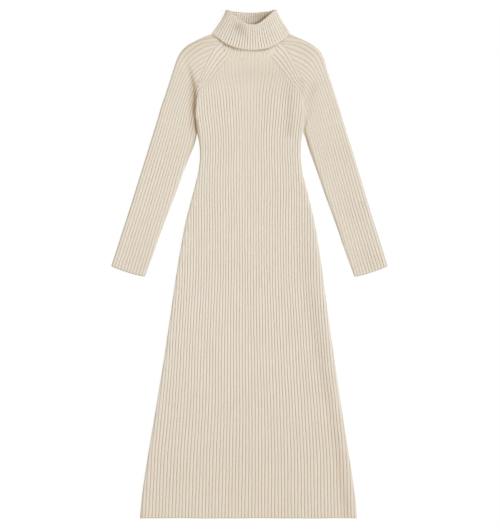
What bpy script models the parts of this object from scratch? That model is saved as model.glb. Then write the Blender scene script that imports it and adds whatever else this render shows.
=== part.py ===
"""A long rib-knit sweater dress, laid flat on its back with both sleeves at its sides.

The garment lies along Y with its collar towards +Y, its front up and its underside on Z = 0.
Sizes are in millimetres until a mesh is made. A height is measured along Y from the hem.
"""

import bisect
import math

import bmesh
import bpy

MM = 0.001

# Overall sizes. The hem's lowest stitch hangs just below the height that sizes are taken from.
GARMENT_LENGTH = 1427.4
HEM = -1.4
MIDDLE = HEM + GARMENT_LENGTH / 2.0
SEAM_GAP = 0.3
ARMHOLE_GAP = 0.5
MERGE_DISTANCE = 0.00002

# The knit: a plain ply with ribs raised on the side that shows.
PLY = 3.0
RIB_RISE = 1.5
FRONT_LEVEL = PLY + SEAM_GAP
EDGE_PLY = 1.0
SEAM_DIP = 0.7
BODY_COLUMNS_A_SIDE = 67

# The body from the hem up: how far its two edges lie from the middle, the spacing of its ribs
# there, how much the ribs crowd together away from the middle, and how softly its edges roll down.
BODY_COLUMNS = ("height", "left", "right", "pitch", "crowding", "roll")
BODY_SECTIONS = (
    (HEM, 306.5, 297.0, 9.30, 0.00, 9.0),
    (36.0, 307.5, 297.5, 9.25, 0.00, 9.0),
    (162.0, 288.5, 281.0, 9.10, 0.00, 9.0),
    (297.0, 266.0, 258.5, 8.70, 0.00, 9.0),
    (431.0, 244.0, 238.5, 8.40, 0.01, 9.0),
    (566.0, 224.0, 219.0, 8.05, 0.01, 9.0),
    (700.0, 204.5, 202.0, 7.65, 0.00, 9.0),
    (834.0, 179.0, 180.0, 7.60, 0.00, 9.0),
    (918.0, 158.4, 159.0, 7.80, 0.03, 9.0),
    (972.0, 146.0, 147.0, 7.75, 0.04, 9.0),
    (1014.0, 141.0, 142.4, 7.60, 0.04, 9.0),
    (1050.0, 142.2, 143.2, 7.55, 0.03, 8.0),
    (1078.0, 148.0, 148.0, 7.65, 0.03, 5.0),
    (1128.0, 153.0, 153.0, 8.10, 0.04, 4.0),
    (1179.0, 148.0, 148.0, 8.60, 0.08, 4.0),
    (1218.0, 119.0, 119.0, 9.70, 0.27, 4.0),
    (1254.0, 92.5, 92.5, 11.00, 0.50, 4.0),
    (1291.0, 60.0, 60.0, 11.20, 0.55, 4.0),
)
CROWDING_RIBS = 20.0
ARMPIT = 1179.0
UNDERARM = 1078.0
YOKE_ROWS = 6

# The front neckline is a shallow curve between the two raglan seams.
FRONT_NECK_HEIGHT = 1282.0
FRONT_NECK_RISE = 9.0
FRONT_NECK_HALF = 60.0

# The back reaches up between the sleeves to a nearly straight neckline, where it rises over the
# collar's turned-down layer.
BACK_YOKE = (
    (1291.0, 59.4),
    (1320.0, 72.4),
    (1328.0, 76.4),
    (1335.0, 80.4),
    (1341.0, 87.0),
)
BACK_NECK_HEIGHT = 1346.8
BACK_NECK_RISE = 5.8
BACK_NECK_HALF = 94.0
BACK_COLUMNS = 8
LIFT_START = 1318.0
LIFT_END = 1341.0

# The left sleeve from its outer edge inwards: where each rib leaves the collar, the raglan band
# or the armhole. A rib has two mesh columns, its crest and its valley.
SLEEVE_STARTS_COLUMNS = ("column", "across", "height")
SLEEVE_STARTS = (
    (0, -105.3, 1354.6),
    (3, -81.2, 1335.0),
    (7, -97.4, 1318.0),
    (9, -108.1, 1300.6),
    (11, -118.3, 1283.2),
    (13, -126.2, 1267.2),
    (17, -140.0, 1236.5),
    (21, -147.8, 1213.8),
    (24, -148.5, ARMPIT),
    (28, -153.5, 1128.0),
    (31, -148.5, UNDERARM),
)
BAND_FIRST = 3
BAND_LAST = 24
BAND_TOP = 1290.6
BAND_RIBS = 4
BAND_FULL = 15.0
SLEEVE_COLUMNS = 31

# Lines across the shoulder, from its outer edge to where the column of that number begins. The
# columns crowd together a little towards that end.
SLEEVE_LINES_COLUMNS = ("outer_x", "outer_height", "inner_x", "inner_height", "last")
SLEEVE_LINES = (
    (-149.8, 1338.4, -97.4, 1318.0, 7.0),
    (-180.5, 1323.0, -118.3, 1283.2, 11.0),
    (-200.5, 1302.5, -126.2, 1267.2, 13.0),
    (-210.6, 1274.0, -140.0, 1236.5, 17.0),
    (-224.6, 1230.0, -148.2, 1195.2, 22.6),
    (-242.0, 1178.8, -151.6, 1148.5, 26.4),
)
LINE_CROWDING = 0.08
LINE_END = 0.5
SLEEVE_ORIGIN = (-260.5, 1112.7)
SLEEVE_SLANT = math.radians(17.2)
SHOULDER_ROWS = 10

# The arm of the sleeve below the underarm: distance along it, width and rib spacing.
ARM_COLUMNS = ("along", "width", "pitch")
ARM_SECTIONS = (
    (0.0, 117.2, 7.65),
    (28.0, 119.6, 7.85),
    (61.0, 118.8, 8.00),
    (132.0, 114.2, 8.25),
    (204.0, 109.5, 8.40),
    (280.0, 106.0, 8.60),
    (355.0, 103.0, 8.75),
    (427.0, 99.4, 8.85),
)
CUFF_BULGE = 3.0
RIGHT_LEAN = 0.0015
LEAN_FROM = 1060.0
FOLD_ROLL = 9.0
FOLD_INSET = 1.4
WALL_INSET = 3.0
INSET_REACH = 16.0

# Soft troughs in the knit: two ends, depth and half width.
CREASE_COLUMNS = ("from_x", "from_height", "to_x", "to_height", "depth", "half_width")
SLEEVE_CREASES = (
    (-148.6, 1200.0, -152.8, 1150.0, 2.6, 9.0),
    (-152.8, 1150.0, -148.6, 1082.0, 2.6, 8.0),
    (-166.0, 1246.0, -149.5, 1205.0, 1.4, 8.0),
)
CREASE_FLOOR = FRONT_LEVEL + 0.8

# The collar is a tube that turns over at its rim and hangs back down as a roll.
COLLAR_SHIFT = 2.4
COLLAR_RIBS = 29
COLLAR_BACK_COLUMNS = 18
FOLD_SPACE = 0.8
ROLL_SIDE = (109.0, 1356.6)
RIM_SIDE = (70.5, HEM + GARMENT_LENGTH)
STAND_SIDE = (97.8, 1352.6)
RIM_FRONT = ((0.0, 1383.6), (22.5, 1389.0), (40.0, 1400.0), (57.5, 1413.6), RIM_SIDE)
RIM_BACK = ((0.0, 1413.2), (32.0, 1415.6), (54.0, 1419.2), RIM_SIDE)
ROLL_FRONT = (
    (0.0, 1308.7),
    (27.0, 1311.8),
    (47.0, 1316.8),
    (66.0, 1325.0),
    (89.0, 1341.0),
    ROLL_SIDE,
)
ROLL_BACK_CENTRE = 1346.0
STAND_FRONT_COLUMNS = ("rib", "across", "height", "level")
STAND_FRONT = (
    (0.0, -97.8, 1352.6, 7.2),
    (4.75, -80.6, 1335.2, 7.2),
    (9.0, -59.2, 1291.6, 3.6),
    (11.5, -32.4, 1285.2, FRONT_LEVEL),
    (14.5, 0.0, 1282.6, FRONT_LEVEL),
)
MOUTH_HEIGHT = 9.6
RIM_TURN = 5.0
SIDE_ROLL = 17.0
SIDE_HOLLOW = 0.05
HOLLOW_HIGH = 0.6
ROLL_EDGE_LEVEL = 10.8
STAND_BARE_FROM = 0.74
SHOWN_FROM = 12.0

KNIT_COLOUR = (0.733, 0.660, 0.546, 1.0)
KNIT_ROUGHNESS = 0.9


def between(low, high, share):
    """The value a share of the way from low to high."""
    return low * (1.0 - share) + high * share


def smooth(share):
    """A soft step from 0 to 1."""
    share = min(max(share, 0.0), 1.0)
    return share * share * (3.0 - 2.0 * share)


def rolled(distance, roll):
    """How far up its rounded edge a knit has come at this distance from the edge, from 0 to 1."""
    left = 1.0 - min(max(distance / roll, 0.0), 1.0)
    return math.sqrt(1.0 - left * left)


def read_table(rows, column, at, by=0):
    """A column's value between the rows of a table, read at a value of its first column."""
    keys = [row[by] for row in rows]
    at = min(max(at, keys[0]), keys[-1])
    above = min(max(bisect.bisect_left(keys, at), 1), len(rows) - 1)
    low, high = rows[above - 1], rows[above]
    share = (at - low[by]) / (high[by] - low[by])
    return between(low[column], high[column], share)


def along_line(points, share):
    """The point a share of the way along a line of points."""
    pairs = list(zip(points, points[1:]))
    left = share * sum(math.dist(start, end) for start, end in pairs)
    for start, end in pairs:
        step = math.dist(start, end)
        if left < step:
            return tuple(between(a, b, left / step) for a, b in zip(start, end))
        left -= step
    return tuple(points[-1])


def body_value(name, height):
    """A named column of the body's sections at a height."""
    return read_table(BODY_SECTIONS, BODY_COLUMNS.index(name), height)


def body_rib_x(rib, height):
    """Where a body rib, counted from the middle, lies across the garment at a height."""
    crowding = body_value("crowding", height) * (rib / CROWDING_RIBS) ** 2
    across = body_value("pitch", height) * rib * (1.0 - crowding)
    return min(max(across, -body_value("left", height)), body_value("right", height))


def front_neck(across):
    """Height of the front neckline."""
    return FRONT_NECK_HEIGHT + FRONT_NECK_RISE * (across / FRONT_NECK_HALF) ** 2


def rib_end(rib):
    """Height at which a body rib meets the raglan seam or the neckline."""
    low, high = ARMPIT, BODY_SECTIONS[-1][0]
    if abs(body_rib_x(rib, low)) > body_value("left" if rib < 0 else "right", low) - 0.1:
        return low
    for _ in range(30):
        middle = (low + high) / 2.0
        across = body_rib_x(rib, middle)
        edge = body_value("left" if rib < 0 else "right", middle)
        inside = abs(across) < edge - 0.01 and middle < front_neck(across)
        low, high = (middle, high) if inside else (low, middle)
    return low


class Wall:
    """Faces between points, where points at one place become one corner."""

    def __init__(self):
        self.mesh = bmesh.new()

    def face(self, points):
        """A face through points given as across, height and level."""
        corners = []
        for across, height, level in points:
            place = (across * MM, (height - MIDDLE) * MM, level * MM)
            corners.append(self.mesh.verts.new(place))
        self.mesh.faces.new(corners)

    def skin(self, grid):
        """Faces over a grid of points."""
        for lower, upper in zip(grid, grid[1:]):
            self.strip(lower, upper)

    def strip(self, first, second):
        """Faces between two lines of points."""
        for index in range(len(first) - 1):
            self.face((first[index], first[index + 1], second[index + 1], second[index]))

    def finish(self, name, collection, material):
        """The closed solid as a named object."""
        bmesh.ops.remove_doubles(self.mesh, verts=self.mesh.verts, dist=MERGE_DISTANCE)
        bmesh.ops.recalc_face_normals(self.mesh, faces=self.mesh.faces)
        if self.mesh.calc_volume(signed=True) < 0.0:
            bmesh.ops.reverse_faces(self.mesh, faces=self.mesh.faces)
        mesh = bpy.data.meshes.new(name)
        self.mesh.to_mesh(mesh)
        self.mesh.free()
        mesh.materials.append(material)
        solid = bpy.data.objects.new(name, mesh)
        collection.objects.link(solid)
        return solid


def border(grid):
    """The line of points round a grid."""
    last = len(grid[0]) - 1
    left = [row[0] for row in grid]
    right = [row[last] for row in grid]
    return grid[0] + right[1:] + grid[-1][::-1][1:] + left[::-1][1:]


def front_grid():
    """Points of the front's outer side, a row for each section and two columns for each rib."""
    columns = range(-BODY_COLUMNS_A_SIDE, BODY_COLUMNS_A_SIDE + 1)
    heights = [row[0] for row in BODY_SECTIONS if row[0] <= ARMPIT]
    grid = [[front_point(column, height, 1.0) for column in columns] for height in heights]
    for step in range(1, YOKE_ROWS + 1):
        share = step / YOKE_ROWS
        fullness = 1.0 if step < YOKE_ROWS else 0.0
        row = []
        for column in columns:
            height = between(ARMPIT, rib_end(column / 2.0), share)
            row.append(front_point(column, height, fullness))
        grid.append(row)
    return grid


def front_point(column, height, fullness):
    """A point of the front's outer side: even columns are valleys and odd ones are crests."""
    across = body_rib_x(column / 2.0, height)
    edge = body_value("left" if across < 0 else "right", height)
    up = rolled(edge - abs(across), body_value("roll", height))
    rib = RIB_RISE * (column % 2) * up
    low = EDGE_PLY if height < UNDERARM else PLY - SEAM_DIP
    level = FRONT_LEVEL + between(low, PLY, up) + rib - SEAM_DIP * (1.0 - fullness)
    return (across, height, level)


def make_front(collection, material):
    """The front: ribs on its upper side, plain underneath."""
    outer = front_grid()
    inner = [[(x, y, FRONT_LEVEL) for x, y, _ in row] for row in outer]
    wall = Wall()
    wall.skin(outer)
    wall.skin(inner)
    wall.strip(border(outer), border(inner))
    wall.finish("front_body", collection, material)


def back_half_widths():
    """Rows of the back: height, left and right."""
    rows = [(row[0], row[1], row[2]) for row in BODY_SECTIONS[:-1]]
    rows += [(height, half, half) for height, half in BACK_YOKE]
    return rows + [(BACK_NECK_HEIGHT, BACK_NECK_HALF, BACK_NECK_HALF)]


def back_point(height, left, right, share):
    """A point of the back's underside."""
    across = between(-left, right, share)
    if height == BACK_NECK_HEIGHT:
        height += BACK_NECK_RISE * (across / STAND_SIDE[0]) ** 2 - SEAM_GAP
    lift = (PLY + FOLD_SPACE) * smooth((height - LIFT_START) / (LIFT_END - LIFT_START))
    return (across, height, lift)


def make_back(collection, material):
    """The back: a plain ply, flat on the ground but where it climbs over the collar's roll."""
    sheet = Wall()
    shares = [column / BACK_COLUMNS for column in range(BACK_COLUMNS + 1)]
    rows = back_half_widths()
    sheet.skin([[back_point(*row, share) for share in shares] for row in rows])
    solid = sheet.finish("back_body", collection, material)
    if solid.data.polygons[0].normal.z > 0:
        solid.data.flip_normals()
    thick = solid.modifiers.new("ply", "SOLIDIFY")
    thick.thickness = PLY * MM
    thick.offset = -1.0


def sleeve_start(column):
    """Where a sleeve column begins, on the collar, the band or the armhole."""
    if column == SLEEVE_COLUMNS:
        return arm_point(column, 0.0)
    across = read_table(SLEEVE_STARTS, 1, column)
    height = read_table(SLEEVE_STARTS, 2, column)
    if column > BAND_LAST:
        across = -body_value("left", height) - ARMHOLE_GAP
    return (across, height)


def band_point(column, row):
    """A point of the raglan band, from the raglan seam up to where a sleeve column begins."""
    start = sleeve_start(column)
    height = between(BAND_TOP, ARMPIT, (column - BAND_FIRST) / (BAND_LAST - BAND_FIRST))
    foot = (-body_value("left", height) - ARMHOLE_GAP, height)
    share = row / (2.0 * BAND_RIBS)
    return (between(foot[0], start[0], share), between(foot[1], start[1], share))


def shoulder_path(column):
    """The line that a sleeve column follows from its start to the underarm line."""
    points = [sleeve_start(column)]
    for outer_x, outer_height, inner_x, inner_height, last in SLEEVE_LINES:
        if column <= last - LINE_END:
            share = column / last
            share += LINE_CROWDING * share * (1.0 - share)
            across = between(outer_x, inner_x, share)
            points.append((across, between(outer_height, inner_height, share)))
    points.append(arm_point(column, 0.0))
    return points


def arm_point(column, along):
    """A point of the arm, a distance along it from the underarm line."""
    width = read_table(ARM_SECTIONS, 1, along)
    reach = min(column * read_table(ARM_SECTIONS, 2, along) / 2.0, width)
    if column == SLEEVE_COLUMNS:
        reach = width
    cuff = smooth((along - ARM_SECTIONS[-2][0]) / (ARM_SECTIONS[-1][0] - ARM_SECTIONS[-2][0]))
    share = reach / width
    along += cuff * CUFF_BULGE * 4.0 * share * (1.0 - share)
    slant = (math.sin(SLEEVE_SLANT), math.cos(SLEEVE_SLANT))
    across = SLEEVE_ORIGIN[0] + reach * slant[1] - along * slant[0]
    return (across, SLEEVE_ORIGIN[1] - reach * slant[0] - along * slant[1])


def crease_drop(point):
    """How far the sleeve's troughs lower the knit at a point."""
    drop = 0.0
    for from_x, from_y, to_x, to_y, depth, half_width in SLEEVE_CREASES:
        run = (to_x - from_x, to_y - from_y)
        offset = (point[0] - from_x, point[1] - from_y)
        share = (offset[0] * run[0] + offset[1] * run[1]) / (run[0] ** 2 + run[1] ** 2)
        share = min(max(share, 0.0), 1.0)
        nearest = (from_x + run[0] * share, from_y + run[1] * share)
        away = math.dist(point, nearest) / half_width
        drop = max(drop, depth * math.exp(-away * away))
    return drop


def knit_level(point, up, crest):
    """Level of the sleeve's upper side at a point."""
    level = FRONT_LEVEL + between(EDGE_PLY, PLY, up) + RIB_RISE * crest * up
    return max(level - crease_drop(point), CREASE_FLOOR)


def sleeve_plan():
    """The sleeve's points from above: the raglan band, and the rest from it down to the cuff."""
    band_columns = range(BAND_FIRST, BAND_LAST + 1)
    band = []
    for row in range(2 * BAND_RIBS + 1):
        band.append([band_point(column, row) for column in band_columns])
    columns = range(SLEEVE_COLUMNS + 1)
    arm = []
    for step in range(SHOULDER_ROWS):
        share = step / SHOULDER_ROWS
        arm.append([along_line(shoulder_path(column), share) for column in columns])
    for section in ARM_SECTIONS:
        arm.append([arm_point(column, section[0]) for column in columns])
    return band, arm


def inset_row(row, inset):
    """A row of points with its two ends brought in along it."""
    reach = [0.0]
    for start, end in zip(row, row[1:]):
        reach.append(reach[-1] + math.dist(start, end))
    line = []
    for along in reach:
        near = max(1.0 - along / INSET_REACH, 0.0)
        far = max(1.0 - (reach[-1] - along) / INSET_REACH, 0.0)
        line.append(along_line(row, (along + inset * (near - far)) / reach[-1]))
    return line


def placed(point, side):
    """The point on its own side of the garment, where the right arm lies a little closer in."""
    across, height, level = point
    if side < 0.0:
        across -= RIGHT_LEAN * min(height - LEAN_FROM, 0.0)
    return (side * across, height, level)


class SleeveSide:
    """One side of the sleeve's knit: its band, its arm and the edges where it meets others."""

    def __init__(self, band, arm, side):
        self.band = [[placed(point, side) for point in row] for row in band]
        self.arm = [[placed(point, side) for point in row] for row in arm]
        neck = self.arm[0][:BAND_FIRST] + [row[0] for row in self.band[::-1]]
        self.mouth = neck + self.band[0][1:] + self.arm[0][BAND_LAST:]
        self.cuff = self.arm[-1]
        self.folds = [[row[0] for row in self.arm], [row[-1] for row in self.arm]]


def outer_side(side):
    """The sleeve's ribbed upper side."""
    band, arm = sleeve_plan()
    band_rows = []
    for row, line in enumerate(band):
        levels = []
        for point, start in zip(line, band[-1]):
            full = min(math.dist(start, band[0][line.index(point)]) / BAND_FULL, 1.0)
            dip = 0.0 if row else SEAM_DIP * full
            levels.append(knit_level(point, 1.0, full * (row % 2)) - dip)
        band_rows.append([(x, y, level) for (x, y), level in zip(line, levels)])
    arm_rows = []
    for row, line in enumerate(arm):
        levels = []
        for column, point in enumerate(line):
            up = rolled(math.dist(point, line[0]), FOLD_ROLL)
            if row >= SHOULDER_ROWS:
                up = min(up, rolled(math.dist(point, line[-1]), FOLD_ROLL))
            crest = column % 2 == 0 and row > 0
            levels.append(knit_level(point, up, crest))
        arm_rows.append([(x, y, level) for (x, y), level in zip(line, levels)])
    return SleeveSide(band_rows, arm_rows, side)


def plain_side(side, inset, level):
    """A plain side of the sleeve's knit at a level."""
    band, arm = sleeve_plan()
    band = [[(x, y, level) for x, y in row] for row in band]
    arm = [[(x, y, level) for x, y in inset_row(row, inset)] for row in arm]
    return SleeveSide(band, arm, side)


def make_sleeve(name, side, collection, material):
    """A sleeve with its raglan band: a flattened tube, open at the cuff and the armhole."""
    upper = outer_side(side)
    upper_inner = plain_side(side, WALL_INSET, FRONT_LEVEL)
    lower_inner = plain_side(side, WALL_INSET, PLY)
    lower = plain_side(side, FOLD_INSET, 0.0)
    sides = (upper, upper_inner, lower_inner, lower)
    wall = Wall()
    for layer in sides:
        wall.skin(layer.band)
        wall.skin(layer.arm)
    for first, second in ((upper, upper_inner), (lower, lower_inner)):
        wall.strip(first.mouth, second.mouth)
        wall.strip(first.cuff, second.cuff)
    for fold in (0, 1):
        wall.strip(upper.folds[fold], lower.folds[fold])
        wall.strip(upper_inner.folds[fold], lower_inner.folds[fold])
        for end in (0, -1):
            wall.face([layer.folds[fold][end] for layer in sides])
    wall.finish(name, collection, material)


def mirrored_line(half):
    """A line of points from the left side to the right, from its right half."""
    return [(-x, y) for x, y in half[::-1]] + list(half[1:])


def stand_base(rib):
    """Across, height and level of the collar's foot at a front rib counted from the left."""
    side = 1.0
    if rib > COLLAR_RIBS / 2.0:
        rib, side = COLLAR_RIBS - rib, -1.0
    across, height, level = (read_table(STAND_FRONT, column, rib) for column in (1, 2, 3))
    return (side * across, height, level)


class CollarColumn:
    """One line round the collar's wall, down its tube, over its rim and down its roll."""

    def __init__(self, share, front):
        self.share = share
        self.front = front
        if front:
            self.rim = along_line(mirrored_line(RIM_FRONT), share)
            self.edge = along_line(mirrored_line(ROLL_FRONT), share)
            self.foot = stand_base(share * COLLAR_RIBS)
        else:
            self.rim = along_line(mirrored_line(RIM_BACK), share)
            across = 2.0 * share - 1.0
            drop = ROLL_SIDE[1] - ROLL_BACK_CENTRE
            self.edge = (across * ROLL_SIDE[0], ROLL_BACK_CENTRE + drop * across**2)
            rise = BACK_NECK_RISE * across**2
            self.foot = (across * STAND_SIDE[0], BACK_NECK_HEIGHT + rise)

    def point(self, down, depth, level, lower, extra=0.0):
        """A point of the collar.

        down runs from 0 at the rim to 1 at the roll's edge or the foot, depth is how far inside
        the roll's outer side the point lies, and level is its height away from the sides.
        """
        end = self.edge if lower == "edge" else self.foot[:2]
        end_side = ROLL_SIDE[0] if lower == "edge" else STAND_SIDE[0] + PLY + FOLD_SPACE
        shift = COLLAR_SHIFT * (1.0 if lower == "edge" else 1.0 - down)
        rim_scale = 1.0 - depth / RIM_SIDE[0]
        end_scale = 1.0 - depth / ROLL_SIDE[0]
        if lower != "edge":
            end_scale = 1.0 - max(depth - PLY - FOLD_SPACE, 0.0) / STAND_SIDE[0]
        across = between(self.rim[0] * rim_scale, end[0] * end_scale, down)
        height = between(self.rim[1], end[1], down)
        hollow = 1.0 - SIDE_HOLLOW * math.sin(math.pi * down**HOLLOW_HIGH)
        across *= hollow
        side = between(RIM_SIDE[0], end_side, down) * hollow - depth
        away = max(side - abs(across), 0.0)
        full = rolled(away, SIDE_ROLL - depth / 2.0)
        middle = between(RIM_MIDDLE, FOOT_MIDDLE if lower != "edge" else EDGE_MIDDLE, down)
        return (across + shift, height, between(middle, level + extra, full))

    def section(self, odd):
        """The points round the wall at this line."""
        reach = math.dist(self.rim, self.edge)
        turn = RIM_TURN / reach
        near = 0.35 * turn
        if self.front:
            return self.front_section(turn, near, odd)
        inner = 2.0 * PLY + FOLD_SPACE
        wall = PLY + FOLD_SPACE
        return [
            self.point(1.0, inner, inner, "foot"),
            self.point(0.6, inner, inner, "foot"),
            self.point(0.3, inner, inner, "foot"),
            self.point(turn, inner, inner, "foot"),
            self.point(near, inner - 1.0, inner - 1.0, "foot"),
            self.point(0.0, inner / 2.0, inner / 2.0, "edge"),
            self.point(near, 1.0, 1.0, "edge"),
            self.point(turn, 0.0, 0.0, "edge"),
            self.point(0.4, 0.0, 0.0, "edge"),
            self.point(0.7, 0.0, 0.0, "edge"),
            self.point(1.0, 0.0, 0.0, "edge"),
            self.point(1.0, PLY, PLY, "edge"),
            self.point(0.75, PLY, PLY, "edge"),
            self.point(0.5, PLY, PLY, "edge"),
            self.point(turn, inner / 2.0, inner / 2.0, "edge"),
            self.point(0.5, wall, wall, "foot"),
            self.point(STAND_BARE_FROM, wall, wall, "foot"),
            self.point(0.88, wall, wall, "foot"),
            self.point(1.0, wall, wall, "foot"),
        ]

    def front_section(self, turn, near, odd):
        """The points round the front of the wall, with ribs on what shows."""
        inside = 2.0 * PLY + FOLD_SPACE
        base = self.foot[2]

        def tube(down):
            """Level of the tube's inner side."""
            return between(RIM_LEVEL, base, down)

        def roll(down):
            """Level of the roll's inner side."""
            return between(RIM_LEVEL + PLY + FOLD_SPACE, ROLL_EDGE_LEVEL, down)

        crest = RIB_RISE * odd
        shows = smooth((self.edge[1] - self.foot[1] - SHOWN_FROM) / SHOWN_FROM)
        foot_crest = RIB_RISE * (not odd) * shows
        middle = RIM_LEVEL + inside / 2.0
        return [
            self.point(1.0, inside, tube(1.0), "foot"),
            self.point(0.6, inside, tube(0.6), "foot"),
            self.point(0.3, inside, tube(0.3), "foot"),
            self.point(turn, inside, tube(turn), "foot"),
            self.point(near, inside - 1.0, tube(near) + 1.0, "foot"),
            self.point(0.0, inside / 2.0, middle, "edge"),
            self.point(near, 1.0, roll(near) + PLY - 1.0, "edge"),
            self.point(turn, 0.0, roll(turn) + PLY, "edge", crest * 0.4),
            self.point(0.4, 0.0, roll(0.4) + PLY, "edge", crest),
            self.point(0.7, 0.0, roll(0.7) + PLY, "edge", crest),
            self.point(1.0, 0.0, roll(1.0) + PLY, "edge", crest * 0.8),
            self.point(1.0, PLY, roll(1.0), "edge"),
            self.point(0.75, PLY, roll(0.75), "edge"),
            self.point(0.5, PLY, roll(0.5), "edge"),
            self.point(turn, inside / 2.0, middle, "edge"),
            self.point(0.5, PLY + FOLD_SPACE, tube(0.5) + PLY, "foot"),
            self.point(STAND_BARE_FROM, PLY + FOLD_SPACE, tube(STAND_BARE_FROM) + PLY, "foot"),
            self.point(0.88, PLY + FOLD_SPACE, tube(0.88) + PLY, "foot", foot_crest),
            self.point(1.0, PLY + FOLD_SPACE, tube(1.0) + PLY, "foot", foot_crest * 0.7),
        ]


RIM_LEVEL = 2.0 * PLY + FOLD_SPACE + MOUTH_HEIGHT
RIM_MIDDLE = (RIM_LEVEL + 2.0 * PLY + FOLD_SPACE) / 2.0
FOOT_MIDDLE = 2.0 * PLY + FOLD_SPACE + 0.2
EDGE_MIDDLE = (ROLL_EDGE_LEVEL + PLY) / 2.0


def make_collar(collection, material):
    """The collar: one wall that runs right round the neck and turns over at its rim."""
    ring = []
    for column in range(2 * COLLAR_RIBS + 1):
        share = column / (2.0 * COLLAR_RIBS)
        ring.append(CollarColumn(share, True).section(column % 2))
    for column in range(1, COLLAR_BACK_COLUMNS):
        turn = math.pi * column / COLLAR_BACK_COLUMNS
        ring.append(CollarColumn(0.5 + math.cos(turn) / 2.0, False).section(0))
    wall = Wall()
    closed = [section + section[:1] for section in ring + ring[:1]]
    wall.skin(closed)
    wall.finish("collar", collection, material)


def knit_material():
    """Cream rib knit."""
    material = bpy.data.materials.new("cream_rib_knit")
    material.use_nodes = True
    shader = material.node_tree.nodes["Principled BSDF"]
    shader.inputs["Base Color"].default_value = KNIT_COLOUR
    shader.inputs["Roughness"].default_value = KNIT_ROUGHNESS
    shader.inputs["Metallic"].default_value = 0.0
    return material


def main():
    """Builds the dress."""
    for item in list(bpy.data.objects):
        bpy.data.objects.remove(item)
    collection = bpy.data.collections.new("sweater_dress")
    bpy.context.scene.collection.children.link(collection)
    material = knit_material()
    make_back(collection, material)
    make_front(collection, material)
    make_sleeve("sleeve_left", 1.0, collection, material)
    make_sleeve("sleeve_right", -1.0, collection, material)
    make_collar(collection, material)


main()
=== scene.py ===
"""A cream rib-knit sweater dress, laid flat: its knit panels, sleeves, collar, yarn and studio.

Sizes are in millimetres until a mesh is built. Across is measured along X from the dress's middle,
height along Y from the hem, and level up from the floor. A rib's number is whole in its valleys,
and half way between them on its crest. A share, a depth or a shade goes from 0 to 1.
"""

import logging
import math
from collections.abc import Sequence
from dataclasses import dataclass, field
from enum import Enum

import bmesh
import bpy
import numpy as np
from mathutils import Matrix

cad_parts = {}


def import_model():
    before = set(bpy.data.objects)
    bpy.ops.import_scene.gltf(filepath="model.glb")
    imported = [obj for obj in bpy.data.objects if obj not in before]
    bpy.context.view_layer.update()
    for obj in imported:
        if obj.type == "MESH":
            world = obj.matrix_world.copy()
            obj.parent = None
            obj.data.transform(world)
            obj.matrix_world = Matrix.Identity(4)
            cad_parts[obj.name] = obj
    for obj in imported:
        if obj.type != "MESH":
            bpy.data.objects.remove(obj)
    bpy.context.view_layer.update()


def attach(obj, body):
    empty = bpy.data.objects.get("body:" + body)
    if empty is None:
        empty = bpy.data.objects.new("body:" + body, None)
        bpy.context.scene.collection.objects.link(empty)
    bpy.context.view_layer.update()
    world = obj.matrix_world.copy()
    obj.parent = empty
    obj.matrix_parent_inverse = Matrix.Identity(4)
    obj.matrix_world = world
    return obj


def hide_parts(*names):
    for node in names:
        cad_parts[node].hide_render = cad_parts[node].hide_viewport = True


Array = np.ndarray
Tree = bpy.types.NodeTree
Socket = bpy.types.NodeSocket

MM = 0.001
# The height that lies on the frame's own middle.
MIDDLE = 712.3
# Points nearer than this, in metres, become one.
MERGE = 0.00002
# Points of a line nearer than this, in millimetres, count as one.
REPEAT = 0.01
# The power that rounds a rib's profile: a higher one gives a flatter crest and steeper sides.
CREST_POWER = 4.0
# How far the painted valley shade lies beside the relief's valleys, in ribs, towards the flank
# that the key light leaves in shade.
PAINTED_SHADE_LEAN = 0.09
# Waves in a rib's path: each has a strength, a length, and a turn from one rib to the next.
SWAY = ((0.36, 61.0, 0.83), (0.24, 29.0, -1.37), (0.14, 13.0, 2.1))
# How much of the low waves in the knit the wide ones make.
WIDE_SWELL = 0.65
BODY = "root"
LOG = logging.getLogger("sweater_dress")


class Side(Enum):
    """Which side of the dress a sleeve is on, as the sign that mirrors the left one onto it."""

    LEFT = 1.0
    RIGHT = -1.0


def between(low: Array, high: Array, share: Array) -> Array:
    """The value a share of the way from low to high."""
    return low + (high - low) * share


def smooth(share: Array) -> Array:
    """A soft step from 0 to 1."""
    share = np.clip(share, 0.0, 1.0)
    return share * share * (3.0 - 2.0 * share)


def rounded(away: Array, radius: Array) -> Array:
    """How far up a rounded edge the knit has come at a distance from it, from 0 to 1."""
    left = 1.0 - np.clip(away / radius, 0.0, 1.0)
    return np.sqrt(1.0 - left * left)


def nipped(away: Array, radius: float) -> Array:
    """How far a rounded corner draws an edge back, at a distance from its side."""
    return radius * (1.0 - rounded(away, radius))


def bump(away: Array, half_width: float) -> Array:
    """A soft rise that is 1 at no distance and dies out past its half width."""
    return np.exp(-((away / half_width) ** 2))


def rib_rise(ribs: Array) -> Array:
    """Height of a rib's rounded profile: 0 in its valleys, at whole numbers, 1 on its crest."""
    away = np.abs(ribs - np.floor(ribs) - 0.5) * 2.0
    return 1.0 - away**CREST_POWER


def waves(along: Array, turns: Array | float, table: Sequence[Sequence[float]]) -> Array:
    """The sum of a table's waves, each with its strength, length and share of the turns."""
    return sum(size * np.sin(along / length + turns * turn) for size, length, turn in table)


def sway(ribs: Array, along: Array) -> Array:
    """How far a rib strays sideways along its length, because no knit hangs quite even."""
    return waves(along, ribs, SWAY)


def swell(across: Array, height: Array) -> Array:
    """Low waves in knit that was smoothed out by hand; wide ones are the stronger.

    Args:
        across: places across the knit.
        height: their heights.

    Returns:
        The waves at each place, from -1 to 1.
    """
    wide = np.sin(across / 41.0 + height / 118.0 + 0.6) * np.sin(height / 73.0 - across / 97.0)
    narrow = np.sin(across / 19.0 - height / 151.0) * np.sin(height / 47.0)
    return between(narrow, wide, WIDE_SWELL)


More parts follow.
